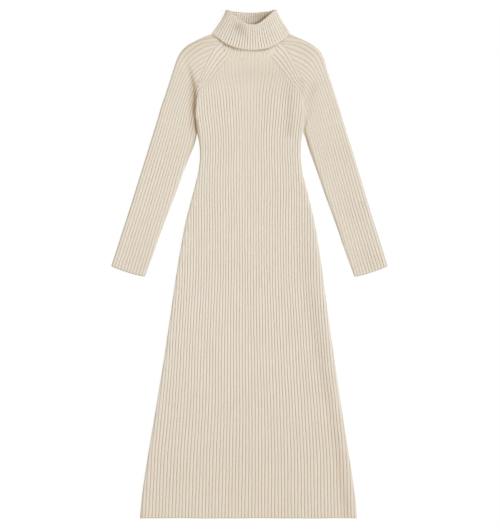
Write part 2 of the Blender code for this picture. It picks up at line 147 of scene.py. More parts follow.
@dataclass(frozen=True)
class Fade:
    """A soft step from 0 to 1: where it starts and how far it runs, downwards if below 0."""

    start: float
    length: float

    def at(self, value: Array) -> Array:
        """The step's height at a value."""
        return smooth((value - self.start) / self.length)


@dataclass(frozen=True)
class Spot:
    """A soft bump from 0 up to 1 and down again: its middle and its half width."""

    middle: float
    half_width: float

    def at(self, value: Array) -> Array:
        """The bump's height at a value."""
        return bump(value - self.middle, self.half_width)


class Curve:
    """Values that follow their keys smoothly and without overshoot."""

    def __init__(self, keys: Sequence[float], values: Sequence) -> None:
        """Prepares the slopes.

        Args:
            keys: rising numbers.
            values: a number or a row of numbers for each key.
        """
        self.keys = np.asarray(keys, float)
        self.values = np.asarray(values, float).reshape(len(self.keys), -1)
        steps = np.diff(self.keys)[:, None]
        rises = np.diff(self.values, axis=0) / steps
        before, after = rises[:-1], rises[1:]
        heavy, light = 2.0 * steps[1:] + steps[:-1], steps[1:] + 2.0 * steps[:-1]
        with np.errstate(divide="ignore", invalid="ignore"):
            middle = (heavy + light) / (heavy / before + light / after)
        middle = np.where(before * after > 0.0, middle, 0.0)
        self.slopes = np.vstack([rises[:1], middle, rises[-1:]])

    def at(self, key: Array) -> Array:
        """Reads the curve.

        Args:
            key: one or more keys, held inside the curve's own range.

        Returns:
            The values, with one more axis than key has.
        """
        key = np.clip(np.asarray(key, float), self.keys[0], self.keys[-1])
        row = np.clip(np.searchsorted(self.keys, key, side="right") - 1, 0, len(self.keys) - 2)
        step = (self.keys[row + 1] - self.keys[row])[..., None]
        share = (key - self.keys[row])[..., None] / step
        lift = share * share * (3.0 - 2.0 * share)
        lean = share * (1.0 - share) ** 2 * self.slopes[row]
        lean -= share * share * (1.0 - share) * self.slopes[row + 1]
        return between(self.values[row], self.values[row + 1], lift) + step * lean


def curve_of(rows: Sequence[Sequence[float]]) -> Curve:
    """A smooth curve through rows that each begin with their key."""
    return Curve([row[0] for row in rows], [row[1:] for row in rows])


class Table:
    """Sections with named columns, read smoothly between its rows."""

    def __init__(self, names: Sequence[str], rows: Sequence[Sequence[float]]) -> None:
        """Keeps the columns; the first one is the key."""
        self.names = list(names[1:])
        self.curve = curve_of(rows)

    def read(self, name: str, at: Array) -> Array:
        """A named column's value at one or more keys."""
        return self.curve.at(at)[..., self.names.index(name)]


def line_curve(points: Array) -> Curve:
    """A smooth curve through points.

    Args:
        points: the points, of which any that repeats the one before it is left out.

    Returns:
        The curve, keyed by the distance along it.
    """
    points = np.asarray(points, float)
    steps = np.linalg.norm(np.diff(points, axis=0), axis=1)
    points = points[np.concatenate([[True], steps > REPEAT])]
    keys = np.concatenate([[0.0], np.cumsum(np.linalg.norm(np.diff(points, axis=0), axis=1))])
    return Curve(keys, points)


def to_segment(places: Array, start: Array, end: Array) -> tuple[Array, Array]:
    """How points lie to a straight segment.

    Args:
        places: points, with across and height on the last axis.
        start: one end of the segment.
        end: its other end.

    Returns:
        How far along the segment each point lies, as a share, and how far from it.
    """
    run = end - start
    offset = places - start
    share = np.clip(offset @ run / max(run @ run, 1e-9), 0.0, 1.0)
    return share, np.linalg.norm(offset - share[..., None] * run, axis=-1)


def strokes(places: Array, lines: Sequence[Sequence[float]]) -> Array:
    """How strongly soft straight strokes touch points.

    Args:
        places: points, with across and height on the last axis.
        lines: for each stroke, where it starts and ends, its strength at both, and its half width.

    Returns:
        The strongest touch at each point.
    """
    touch = np.zeros(places.shape[:-1])
    for *ends, first, last, half_width in lines:
        share, gap = to_segment(places, np.array(ends[:2]), np.array(ends[2:]))
        touch = np.maximum(touch, between(first, last, share) * bump(gap, half_width))
    return touch


def distance_to_line(places: Array, line: Array) -> Array:
    """Distance in plan from points to a line.

    Args:
        places: points, with across and height on the last axis.
        line: the line's own points.

    Returns:
        The distance of each point.
    """
    nearest = np.full(places.shape[:-1], np.inf)
    for start, end in zip(line[:-1], line[1:]):
        nearest = np.minimum(nearest, to_segment(places, start, end)[1])
    return nearest


def stack(*parts: Array) -> Array:
    """Values side by side on a last axis, spread to one shape."""
    return np.stack(np.broadcast_arrays(*parts), axis=-1)


class KnitMesh:
    """Gathers the points and faces of one knit piece, and makes an object of them."""

    sharp_angle: float = 62.0

    def __init__(self) -> None:
        """Starts empty."""
        self.places: list[Array] = []
        self.marks: list[Array] = []
        self.faces: list[list[int]] = []
        self.count = 0

    def points(self, places: Array, marks: Array) -> Array:
        """Adds points.

        Args:
            places: across, height and level of each point.
            marks: rib, course, depth and shade of each point, for the knit and fold maps; depth
                sets the painted valley shade and shade is painted shade.

        Returns:
            The points' numbers, in the shape that places has.
        """
        shape = places.shape[:-1]
        numbers = self.count + np.arange(math.prod(shape)).reshape(shape)
        self.places.append(places.reshape(-1, 3))
        self.marks.append(marks.reshape(-1, 4))
        self.count += numbers.size
        return numbers

    def skin(self, numbers: Array) -> None:
        """Adds faces over a grid of points."""
        corners = (numbers[:-1, :-1], numbers[:-1, 1:], numbers[1:, 1:], numbers[1:, :-1])
        self.faces.extend(np.stack(corners, axis=-1).reshape(-1, 4).tolist())

    def grid(self, places: Array, marks: Array) -> Array:
        """Adds a grid of points with its faces.

        Args:
            places: across, height and level of each point.
            marks: rib, course, depth and painted shade of each point.

        Returns:
            The points' numbers.
        """
        numbers = self.points(places, marks)
        self.skin(numbers)
        return numbers

    def wall(self, first: Array, second: Array) -> None:
        """Adds faces between two lines of points."""
        self.skin(np.stack([first, second]))

    def lid(self, ring: Array) -> None:
        """Adds one flat face inside a ring of points."""
        self.faces.append([int(number) for number in ring])

    def at_level(self, numbers: Array, level: float) -> Array:
        """Adds copies of points at one level.

        Args:
            numbers: the points' numbers.
            level: the level of the copies.

        Returns:
            The copies' numbers.
        """
        places = np.concatenate(self.places)[numbers].copy()
        places[..., 2] = level
        return self.points(places, np.concatenate(self.marks)[numbers])

    def build(self, name: str, material: bpy.types.Material) -> bpy.types.Object:
        """Makes the object, closed and facing outwards.

        Args:
            name: the object's name.
            material: its finish.

        Returns:
            The object, linked to the scene.
        """
        places = np.concatenate(self.places)
        places[:, 1] -= MIDDLE
        marks = np.concatenate(self.marks).astype(np.float32)
        mesh = bpy.data.meshes.new(name)
        mesh.from_pydata((places * MM).tolist(), [], self.faces)
        corners = np.empty(len(mesh.loops), np.int32)
        mesh.loops.foreach_get("vertex_index", corners)
        # The fold map carries each point's depth, which sets its painted valley shade, and its
        # painted shade.
        for number, map_name in enumerate(("knit", "fold")):
            layer = mesh.uv_layers.new(name=map_name)
            values = marks[corners, 2 * number : 2 * number + 2]
            layer.data.foreach_set("uv", values.ravel())
        shape = bmesh.new()
        shape.from_mesh(mesh)
        bmesh.ops.remove_doubles(shape, verts=shape.verts, dist=MERGE)
        bmesh.ops.recalc_face_normals(shape, faces=shape.faces)
        if shape.calc_volume(signed=True) < 0.0:
            bmesh.ops.reverse_faces(shape, faces=shape.faces)
        open_edges = sum(1 for edge in shape.edges if len(edge.link_faces) != 2)
        shape.to_mesh(mesh)
        shape.free()
        mesh.materials.append(material)
        mesh.shade_smooth()
        mesh.set_sharp_from_angle(angle=math.radians(self.sharp_angle))
        piece = bpy.data.objects.new(name, mesh)
        bpy.context.scene.collection.objects.link(piece)
        LOG.info("%s: %d faces, %d open edges", name, len(mesh.polygons), open_edges)
        return piece


@dataclass
class BodyPlan:
    """Outline and ribs of the body, which its front and back share."""

    columns: tuple = ("height", "left", "right", "pitch", "crowding", "roll", "drift")
    rows: tuple = (
        (-1.4, 308.4, 299, 9.3, 0, 9, 3.2),
        (36, 304.9, 296.6, 9.25, 0, 9, 3.4),
        (98, 297.6, 288.9, 9.18, 0, 9, 4),
        (162, 287.6, 279.4, 9.1, 0, 9, 4.7),
        (297, 265, 258, 8.7, 0, 9, 4.9),
        (431, 243, 238.3, 8.4, 0.01, 9, 2.7),
        (566, 223, 219, 8.05, 0.01, 9, 1.4),
        (700, 203.3, 201.4, 7.65, 0, 9, 0.8),
        (834, 178.9, 179.4, 7.6, 0, 9, 0.4),
        (918, 157.1, 159.8, 7.8, 0.03, 9, 0.3),
        (972, 144.4, 146.5, 7.75, 0.04, 9, 0),
        (1014, 139.7, 141.7, 7.6, 0.04, 9, 0),
        (1050, 142.2, 143.2, 7.55, 0.03, 8, 0),
        (1078, 148, 148, 7.65, 0.03, 5, 0),
        (1128, 153, 153, 8.1, 0.04, 4, 0),
        (1179, 148, 148, 8.6, 0.08, 3, 0),
        (1218, 119, 119, 9.7, 0.27, 1.5, 0),
        (1254, 92.5, 92.5, 11, 0.5, 1.5, 0),
        (1291, 60, 60, 11.2, 0.55, 1.5, 0),
    )
    crowding_ribs: float = 20.0
    hem: float = -1.4
    armpit: float = 1179.0
    seam: Fade = Fade(1038.0, 40.0)
    most_ribs: int = 34
    columns_a_rib: int = 8
    edge_strip: tuple = (9.0, 6.8, 5.0, 3.5, 2.2, 1.2, 0.5, 0.12, 0.0)
    row_step: float = 11.0
    first_step: float = 3.0
    hem_rows: tuple = (0.0, 0.4, 1.0, 1.8, 2.7, 3.6, 4.6, 6.0, 8.0)
    scallop: float = 0.1
    corner: float = 1.4
    hem_fade: Fade = Fade(14.0, -14.0)
    hem_waves: tuple = ((0.36, 38.0, 0.8), (0.21, 17.0, 0.0))
    hem_mean: float = 0.42
    wave_fade: Fade = Fade(120.0, -120.0)
    solver_steps: int = 6
    table: Table = field(init=False)

    def __post_init__(self) -> None:
        """Prepares the table."""
        self.table = Table(self.columns, self.rows)

    def edge(self, across: Array, height: Array) -> Array:
        """How far out the body's edge lies on the side that a point is on."""
        left, right = self.table.read("left", height), self.table.read("right", height)
        return np.where(across < 0.0, left, right)

    def inset(self, across: Array, height: Array) -> Array:
        """How far in from the body's edge a point lies."""
        return self.edge(across, height) - np.abs(across)

    def rib_across(self, ribs: Array, height: Array) -> Array:
        """Where ribs lie across the body.

        Args:
            ribs: rib numbers, counted from the middle.
            height: the heights to look at.

        Returns:
            Across, once the ribs crowd together towards the sides and the whole knit drifts.
        """
        crowding = self.table.read("crowding", height) * (ribs / self.crowding_ribs) ** 2
        drift = self.table.read("drift", height)
        return self.table.read("pitch", height) * ribs * (1.0 - crowding) + drift

    def rib_at(self, across: Array, height: Array) -> Array:
        """The inverse of rib_across, in a few Newton steps.

        Args:
            across: places across the body.
            height: their heights.

        Returns:
            The rib number at each place.
        """
        pitch = self.table.read("pitch", height)
        crowding = self.table.read("crowding", height) / self.crowding_ribs**2
        across = across - self.table.read("drift", height)
        ribs = across / pitch
        for _ in range(self.solver_steps):
            miss = pitch * ribs * (1.0 - crowding * ribs * ribs) - across
            ribs = ribs - miss / (pitch * (1.0 - 3.0 * crowding * ribs * ribs))
        return ribs

    def swayed_rib(self, across: Array, height: Array) -> Array:
        """The rib number at a point, once the ribs have strayed from their even places."""
        ribs = self.rib_at(across, height)
        return self.rib_at(across - sway(ribs, height), height)

    def row_heights(self) -> Array:
        """Spaces the grid's rows from the hem up to the armpits.

        Returns:
            The rows' distances above the hem.
        """
        top = self.armpit - self.hem
        first = self.hem_rows[-1] + self.first_step
        count = round((top - first) / self.row_step)
        return np.concatenate([self.hem_rows, np.linspace(first, top, count + 1)])

    def across_at(self, heights: Array) -> Array:
        """Grid columns across the body at each height, with a strip along each edge.

        Args:
            heights: one height for each row.

        Returns:
            Across, with a row for each height.
        """
        heights = heights[:, None]
        left, right = self.table.read("left", heights), self.table.read("right", heights)
        count = self.most_ribs * self.columns_a_rib
        ribs = np.arange(-count, count + 1)[None, :] / self.columns_a_rib
        strip = np.array(self.edge_strip)
        main = self.rib_across(ribs, heights) + sway(ribs, heights)
        main = np.clip(main, -left + strip[0], right - strip[0])
        return np.hstack([-left + strip[None, :0:-1], main, right - strip[None, 1:]])

    def grid(self) -> tuple[Array, Array, Array]:
        """The grid in plan, from the hem up to the armpits.

        Returns:
            Across, height and distance above the hem of each point.
        """
        above = self.row_heights()
        across = self.across_at(self.hem + above)
        above = np.repeat(above[:, None], across.shape[1], axis=1)
        height = self.hem + above
        return across, height + self.hem_lift(across, above, self.rib_at(across, height)), above

    def hem_lift(self, across: Array, above: Array, ribs: Array) -> Array:
        """How far the hem's scallops, its corners and its slow wave raise a point.

        Args:
            across: the point's place across the body.
            above: its distance above the hem.
            ribs: its rib number.

        Returns:
            The rise in height.
        """
        corner = nipped(self.inset(across, np.full_like(across, self.hem)), self.corner)
        scallop = self.scallop * (1.0 - rib_rise(ribs))
        wave = waves(across, 1.0, self.hem_waves) + self.hem_mean
        return self.hem_fade.at(above) * (corner + scallop) + self.wave_fade.at(above) * wave


@dataclass
class KnitRelief:
    """Thickness of the rib knit, the height of its ribs and the shape of its bound-off edges."""

    ply: float = 2.3
    rise: float = 1.85
    underside_rise: float = 1.4
    front_level: float = 3.3
    back_level: float = 3.0
    fold_level: float = 3.15
    edge_round: float = 2.2
    edge_depth: float = 0.15
    edge_fade: Fade = Fade(0.0, 3.6)
    bead: float = 0.3
    bead_at: Spot = Spot(1.7, 1.2)
    groove: float = 0.15
    groove_at: Spot = Spot(4.0, 1.3)
    # Where painted shade lies along a bound-off edge.
    shadow_at: Spot = Spot(0.8, 1.8)

    def edge_shape(self, away: Array) -> tuple[Array, Array]:
        """The bound-off edge of a hem or a cuff.

        Args:
            away: distance from the edge.

        Returns:
            How full the knit's thickness is, and how much the bead and groove add to it.
        """
        line = self.bead * self.bead_at.at(away) - self.groove * self.groove_at.at(away)
        return rounded(away, self.edge_round), line

    def bound_off(self, away: Array) -> Array:
        """How much of its ribs the knit still has near its bound-off edge."""
        return between(self.edge_depth, 1.0, self.edge_fade.at(away))


@dataclass
class FrontPanel:
    """The body's front, from the hem to the raglan seams and the neck."""

    plan: BodyPlan
    relief: KnitRelief
    neck_height: float = 1282.15
    neck_rise: float = 9.0
    neck_half: float = 60.0
    yoke_rows: int = 26
    yoke_bunching: float = 1.5
    yoke_settling: float = 0.35
    seam_steps: int = 40
    seam_margin: float = 0.1
    neck_depth: float = 0.36
    neck_fade: Fade = Fade(1285.0, -130.0)
    chest_flat: float = 0.42
    chest_across: Spot = Spot(-8.0, 34.0)
    chest_height: Fade = Fade(740.0, 400.0)
    left_flat: float = 0.18
    left_across: Spot = Spot(-100.0, 24.0)
    left_height: Spot = Spot(1110.0, 140.0)
    foot_depth: float = 0.86
    foot_height: Fade = Fade(150.0, 450.0)
    torso_depth: float = 0.94
    torso_height: Fade = Fade(600.0, 200.0)
    side_depth: float = 0.3
    side_inset: Fade = Fade(4.0, 6.0)
    side_height: Spot = Spot(1125.0, 55.0)
    ridge: float = 1.6
    ridge_inset: Spot = Spot(4.0, 6.0)
    ridge_height: Spot = Spot(1125.0, 48.0)
    seam_dip: float = 0.3
    seam_width: float = 3.4
    seam_slant: float = 0.78
    seam_drop: float = 0.3
    least_knit: float = 0.8
    rise_swell: float = 0.12
    wave: float = 0.35
    wave_height: Fade = Fade(1285.0, -60.0)
    # Painted shade: an even one that fades out at the neck, one along the hem, a darkening towards
    # the bottom, and soft strokes by the left armpit, on the yoke and chest, and along the skirt's
    # right edge and left corner.
    least_shade: float = 0.05
    least_height: Fade = Fade(1290.0, -50.0)
    hem_shade: float = 0.16
    foot_shade: float = 0.11
    foot_above: Fade = Fade(800.0, -800.0)
    shades: tuple = (
        (-150, 1190, -154.5, 1128, 0.1, 0.5, 2.6), (-154.5, 1128, -149, 1080, 0.5, 0.5, 2.6),
        (-150, 1112, -147, 1076, 0.4, 0.56, 6), (-147, 1076, -142, 1020, 0.58, 0.24, 6),
        (-142, 1020, -150, 955, 0.2, 0, 6), (84, 1300, 104, 1180, 0.1, 0.08, 30),
        (112, 1210, 112, 1080, 0.13, 0.14, 16), (-30, 1245, 60, 1245, 0.08, 0.09, 32),
        (60, 1245, 50, 1140, 0.08, 0.05, 36), (-290, 70, -303, 0, 0, 0.2, 16),
        (146, 960, 168, 640, 0, 0.1, 26), (168, 640, 202, 430, 0.1, 0.14, 26),
        (202, 430, 236, 250, 0.15, 0.16, 20), (236, 250, 272, 10, 0.17, 0.22, 20),
    )
    course: float = 4.0

    def neck(self, across: Array) -> Array:
        """Height of the front neckline."""
        return self.neck_height + self.neck_rise * (across / self.neck_half) ** 2

    def rib_ends(self, ribs: Array) -> Array:
        """Where ribs meet the raglan seam or the neckline, by halving the span again and again.

        Args:
            ribs: rib numbers.

        Returns:
            The height at which each one ends.
        """
        armpit = np.full_like(ribs, self.plan.armpit)
        low, high = armpit, np.full_like(ribs, self.plan.rows[-1][0])
        for _ in range(self.seam_steps):
            middle = (low + high) / 2.0
            across = self.plan.rib_across(ribs, middle)
            inside = self.plan.inset(across, middle) > 0.0
            inside &= middle < self.neck(across)
            low, high = np.where(inside, middle, low), np.where(inside, high, middle)
        start = self.plan.rib_across(ribs, armpit)
        return np.where(self.plan.inset(start, armpit) < self.seam_margin, armpit, low)

    def rows(self) -> tuple[Array, Array, Array]:
        """The whole grid in plan.

        Returns:
            Across, height and distance above the hem of each point.
        """
        across, height, above = self.plan.grid()
        ribs = self.plan.rib_at(across, self.plan.hem + above)[-1]
        share = np.arange(1, self.yoke_rows + 1)[:, None] / self.yoke_rows
        share = 1.0 - (1.0 - share) ** self.yoke_bunching
        yoke_height = between(self.plan.armpit, self.rib_ends(ribs)[None, :], share)
        strays = across[-1] - self.plan.rib_across(ribs, height[-1])
        strays = strays * (1.0 - smooth(share / self.yoke_settling))
        yoke_across = self.plan.rib_across(ribs[None, :], yoke_height) + strays
        across = np.vstack([across, yoke_across])
        height = np.vstack([height, yoke_height])
        return across, height, np.vstack([above, yoke_height - self.plan.hem])

    def depth(self, across: Array, height: Array) -> Array:
        """How deep the ribs are, and so how much painted shade their valleys get: they are
        stretched flat on the yoke and the chest.

        Args:
            across: places across the front.
            height: their heights.

        Returns:
            The depth at each place.
        """
        neck = between(self.neck_depth, 1.0, self.neck_fade.at(height))
        chest = self.chest_flat * self.chest_across.at(across) * self.chest_height.at(height)
        left = self.left_flat * self.left_across.at(across) * self.left_height.at(height)
        foot = between(self.foot_depth, 1.0, self.foot_height.at(height))
        torso = between(1.0, self.torso_depth, self.torso_height.at(height))
        side = self.side_inset.at(self.plan.inset(across, height))
        side = between(self.side_depth, 1.0, side)
        side = between(1.0, side, self.side_height.at(height))
        hem = self.relief.bound_off(height - self.plan.hem)
        return neck * (1.0 - chest) * (1.0 - left) * foot * torso * hem * side

    def levels(self, across: Array, height: Array, above: Array) -> Array:
        """The ribbed upper side.

        Args:
            across: places across the front.
            height: their heights.
            above: their distances above the hem.

        Returns:
            The level at each place.
        """
        plan, relief = self.plan, self.relief
        inset = plan.inset(across, height)
        full, line = relief.edge_shape(above)
        rise = relief.rise * (1.0 + self.rise_swell * swell(height, across))
        rise = rise * self.depth(across, height)
        knit = relief.ply + rise * rib_rise(plan.swayed_rib(across, height)) + line
        knit = knit + self.wave * swell(across, height) * self.wave_height.at(height)
        knit = knit + self.ridge * self.ridge_height.at(height) * self.ridge_inset.at(inset)
        from_seam = np.where(height > plan.armpit, inset * self.seam_slant, np.inf)
        knit = knit - self.seam_dip * (1.0 - smooth(from_seam / self.seam_width))
        seamed = relief.front_level + relief.ply - self.seam_drop
        low = between(relief.front_level, seamed, plan.seam.at(height))
        top = relief.front_level + np.maximum(knit, self.least_knit) * full
        up = rounded(inset, plan.table.read("roll", height))
        return between(low, np.maximum(top, low), up)

    def shade(self, across: Array, height: Array, above: Array) -> Array:
        """Painted shade: darkest deep in a fold or a seam, along the hem and towards the bottom.

        Args:
            across: places across the front.
            height: their heights.
            above: their distances above the hem.

        Returns:
            The shade at each place.
        """
        hem = self.hem_shade * self.relief.shadow_at.at(above)
        hem = hem + self.foot_shade * self.foot_above.at(above)
        least = self.least_shade * self.least_height.at(height)
        return between(least, 1.0, np.maximum(hem, strokes(stack(across, height), self.shades)))

    def build(self, material: bpy.types.Material) -> bpy.types.Object:
        """Makes the front.

        Args:
            material: its finish.

        Returns:
            The closed piece.
        """
        across, height, above = self.rows()
        ribs = self.plan.swayed_rib(across, height) - PAINTED_SHADE_LEAN
        depth, shade = self.depth(across, height), self.shade(across, height, above)
        places = stack(across, height, self.levels(across, height, above))
        mesh = KnitMesh()
        numbers = mesh.grid(places, stack(ribs, height / self.course, depth, shade))
        sides = [numbers[1:, -1], numbers[-1, -2::-1], numbers[-2:0:-1, 0]]
        ring = np.concatenate([numbers[0], *sides])
        under = mesh.at_level(ring, self.relief.front_level)
        mesh.wall(np.append(ring, ring[0]), np.append(under, under[0]))
        mesh.lid(under)
        return mesh.build("front_body_knit", material)


@dataclass
class BackPanel:
    """The body's back, from the hem up to its higher neckline."""

    plan: BodyPlan
    relief: KnitRelief
    yoke: tuple = (
        (1179, 148), (1218, 119), (1254, 92.5), (1291, 59.4), (1320, 72.4), (1328, 76.4),
        (1335, 80.4), (1341, 87), (1346.8, 94),
    )
    yoke_rows: int = 23
    lift_rows: int = 7
    neck_rise: float = 5.8
    neck_side: float = 109.0
    lift: float = 3.8
    lift_from: float = 1318.0
    lift_to: float = 1341.0
    seam_dip: float = 0.7
    # An even painted shade over the whole back.
    least_shade: float = 0.05
    course: float = 4.0
    edge_rise: float = 5.0

    def lifted(self, height: Array) -> Array:
        """How far the back climbs over the collar's turned-down layer."""
        return self.lift * smooth((height - self.lift_from) / (self.lift_to - self.lift_from))

    def rows(self) -> tuple[Array, Array, Array, Array]:
        """The whole grid in plan.

        Returns:
            Across, height, distance above the hem, and distance from the side edge.
        """
        plan = self.plan
        across, height, above = plan.grid()
        inset = plan.inset(across, plan.hem + above)
        low, high = self.yoke[0][0], self.yoke[-1][0]
        tops = np.linspace(low, self.lift_from, self.yoke_rows + 1)[1:]
        tops = np.append(tops, np.linspace(self.lift_from, high, self.lift_rows + 1)[1:])[:, None]
        half = curve_of(self.yoke).at(tops[:, 0])
        share = across[-1][None, :] / plan.edge(across[-1], height[-1])[None, :]
        yoke_across = share * half
        rise = self.neck_rise * (yoke_across / self.neck_side) ** 2
        rise = rise * smooth((tops - self.lift_from) / (high - self.lift_from))
        yoke_height = tops + rise
        across = np.vstack([across, yoke_across])
        height = np.vstack([height, yoke_height])
        above = np.vstack([above, yoke_height - plan.hem])
        return across, height, above, np.vstack([inset, half - np.abs(yoke_across)])

    def build(self, material: bpy.types.Material) -> bpy.types.Object:
        """Makes the back.

        Args:
            material: its finish.

        Returns:
            The closed piece.
        """
        plan, relief = self.plan, self.relief
        across, height, above, inset = self.rows()
        ribs = plan.rib_at(across, np.minimum(height, plan.armpit))
        full, _ = relief.edge_shape(above)
        knit = relief.underside_rise * (1.0 - rib_rise(ribs))
        edge = between(relief.back_level, self.seam_dip, plan.seam.at(height))
        low = between(edge, knit, rounded(inset, self.edge_rise))
        low = between(relief.back_level, low, full) + self.lifted(height)
        mesh = KnitMesh()
        marks = stack(ribs, height / self.course, 1.0, self.least_shade)
        numbers = mesh.grid(stack(across, height, low), marks)
        first = len(plan.row_heights()) + self.yoke_rows - 1
        top = relief.back_level + self.lifted(height[first:])
        upper = mesh.grid(stack(across[first:], height[first:], top), marks[first:])
        hem = mesh.at_level(numbers[0], relief.back_level)
        sides = [mesh.at_level(numbers[1:first, end], relief.back_level) for end in (0, -1)]
        mesh.wall(numbers[0], hem)
        for end, side in zip((0, -1), sides):
            mesh.wall(numbers[:, end], np.concatenate([[hem[end]], side, upper[:, end]]))
        mesh.wall(numbers[-1], upper[-1])
        mesh.lid(np.concatenate([hem, sides[1], upper[0, ::-1], sides[0][::-1]]))
        return mesh.build("back_body_knit", material)


@dataclass
class SleeveGrid:
    """A sleeve's grid in plan; the shoulder's rows come first, then the arm's.

    It holds the points and their columns, how far the shoulder's rows lie from the start of their
    columns and the arm's rows from the cuff, and the raglan band's own points.
    """

    main: Array
    columns: Array
    from_start: Array
    from_cuff: Array
    band: Array


@dataclass
class SleevePlan:
    """Plan of a left sleeve: its raglan band, its shoulder and its arm.

    Two columns make a rib: even ones are crests and odd ones are valleys.
    """

    body: BodyPlan
    starts: tuple = (
        (0, -105.3, 1354.6), (3, -81.2, 1335), (7, -97.4, 1318), (9, -108.1, 1300.6),
        (11, -118.3, 1283.2), (13, -126.2, 1267.2), (17, -140, 1236.5), (21, -147.8, 1213.8),
        (24, -148.5, 1179), (28, -153.5, 1128), (30.64, -148.54, 1078.04),
    )
    lines: tuple = (
        (-149.8, 1338.4, -97.4, 1318, 7), (-180.5, 1323, -118.3, 1283.2, 11),
        (-200.5, 1302.5, -126.2, 1267.2, 13), (-210.6, 1274, -140, 1236.5, 17),
        (-224.6, 1230, -148.2, 1195.2, 22.6), (-242, 1178.8, -151.6, 1148.5, 26.4),
    )
    line_crowding: float = 0.08
    line_margin: float = 0.05
    origin: tuple = (-260.5, 1112.7)
    slant: float = math.radians(17.2)
    arm_columns: tuple = ("along", "width", "pitch")
    arm_rows: tuple = (
        (0, 117.2, 7.65),
        (28, 119.6, 7.85),
        (61, 118.8, 8),
        (132, 114.2, 8.25),
        (204, 109.5, 8.4),
        (280, 106, 8.6),
        (355, 103, 8.75),
        (427, 99.4, 8.85),
    )
    band_first: float = 3.0
    band_last: float = 24.0
    band_top: float = 1290.6
    band_ribs: int = 4
    band_rows: int = 32
    band_pitch: float = 6.9
    seam_gap: float = 0.15
    margin: float = 0.01
    column_step: float = 0.25
    first_columns: tuple = (0.0, 0.03, 0.08, 0.15)
    main_last: float = 28.25
    strip: tuple = (0.25, 0.45, 0.62, 0.77, 0.88, 0.96, 1.0)
    shoulder_rows: int = 44
    shoulder_bunching: float = 1.25
    join: float = 28.0
    arm_step: float = 8.0
    cuff_rows: tuple = (10.0, 7.5, 5.6, 4.6, 3.6, 2.7, 1.8, 1.0, 0.4, 0.0)
    cuff_bulge: float = 3.0
    cuff_bulge_fade: Fade = Fade(70.0, -70.0)
    cuff_fade: Fade = Fade(12.0, -12.0)
    scallop: float = 0.08
    corner: float = 2.2
    sway_inset: Fade = Fade(0.0, 10.0)
    sway_along: Fade = Fade(0.0, 30.0)
    arm: Table = field(init=False)
    columns: Array = field(init=False)

    def __post_init__(self) -> None:
        """Prepares the table and the grid's columns."""
        self.arm = Table(self.arm_columns, self.arm_rows)
        main = np.arange(self.column_step, self.main_last + self.margin, self.column_step)
        strip = between(self.main_last, self.starts[-1][0], np.array(self.strip))
        self.columns = np.concatenate([self.first_columns, main, strip])

    def start(self, column: float, reach: float) -> Array:
        """Where a column begins, on the collar, the band or the armhole.

        Args:
            column: the column's number.
            reach: how far in from the arm's outer edge it runs.

        Returns:
            Across and height.
        """
        if column > self.starts[-1][0] - self.margin:
            return self.arm_point(0.0, reach)
        across, height = curve_of(self.starts).at(column)
        if column > self.band_last - self.margin:
            across = -float(self.body.table.read("left", height)) - self.seam_gap
        return np.array([across, height])

    def arm_point(self, along: Array, reach: Array) -> Array:
        """Points of the arm.

        Args:
            along: distances along the arm.
            reach: how far in from its outer edge the points lie.

        Returns:
            Across and height.
        """
        across = self.origin[0] + reach * math.cos(self.slant) - along * math.sin(self.slant)
        height = self.origin[1] - reach * math.sin(self.slant) - along * math.cos(self.slant)
        return stack(across, height)

    def reach(self, along: Array) -> Array:
        """How far in from the arm's outer edge the columns lie.

        Args:
            along: distances along the arm.

        Returns:
            The reach, with a row for each distance and a column for each column.
        """
        along = along[:, None]
        width, pitch = self.arm.read("width", along), self.arm.read("pitch", along)
        _, first_width, first_pitch = self.arm_rows[0]
        inner = first_width - self.main_last * first_pitch / 2.0
        main = self.columns[: -len(self.strip)][None, :]
        main = np.minimum(main * pitch / 2.0, width - inner)
        strip = width - inner * (1.0 - np.array(self.strip)[None, :])
        return np.hstack([main, strip])

    def shoulder_path(self, column: float, reach: float) -> Curve:
        """The smooth line that a column follows from its start to the underarm line.

        Args:
            column: the column's number.
            reach: how far in from the arm's outer edge it ends.

        Returns:
            The line, keyed by the distance along it.
        """
        points = [self.start(column, reach)]
        for *outer, inner_x, inner_height, last in self.lines:
            if column < last - self.line_margin:
                share = column / last
                share += self.line_crowding * share * (1.0 - share)
                points.append(between(np.array(outer), np.array([inner_x, inner_height]), share))
        points += [self.arm_point(along, reach) for along in (0.0, self.join)]
        return line_curve(points)

    def shoulder(self) -> tuple[Array, Array]:
        """The shoulder's grid.

        Returns:
            Its points in plan, and how far each lies along its column from the start.
        """
        share = (np.arange(self.shoulder_rows) / self.shoulder_rows) ** self.shoulder_bunching
        places, alongs = [], []
        for column, reach in zip(self.columns, self.reach(np.zeros(1))[0]):
            path = self.shoulder_path(float(column), float(reach))
            alongs.append(share * max(path.keys[-1] - self.join, 0.0))
            places.append(path.at(alongs[-1]))
        return np.stack(places, axis=1), np.stack(alongs, axis=1)

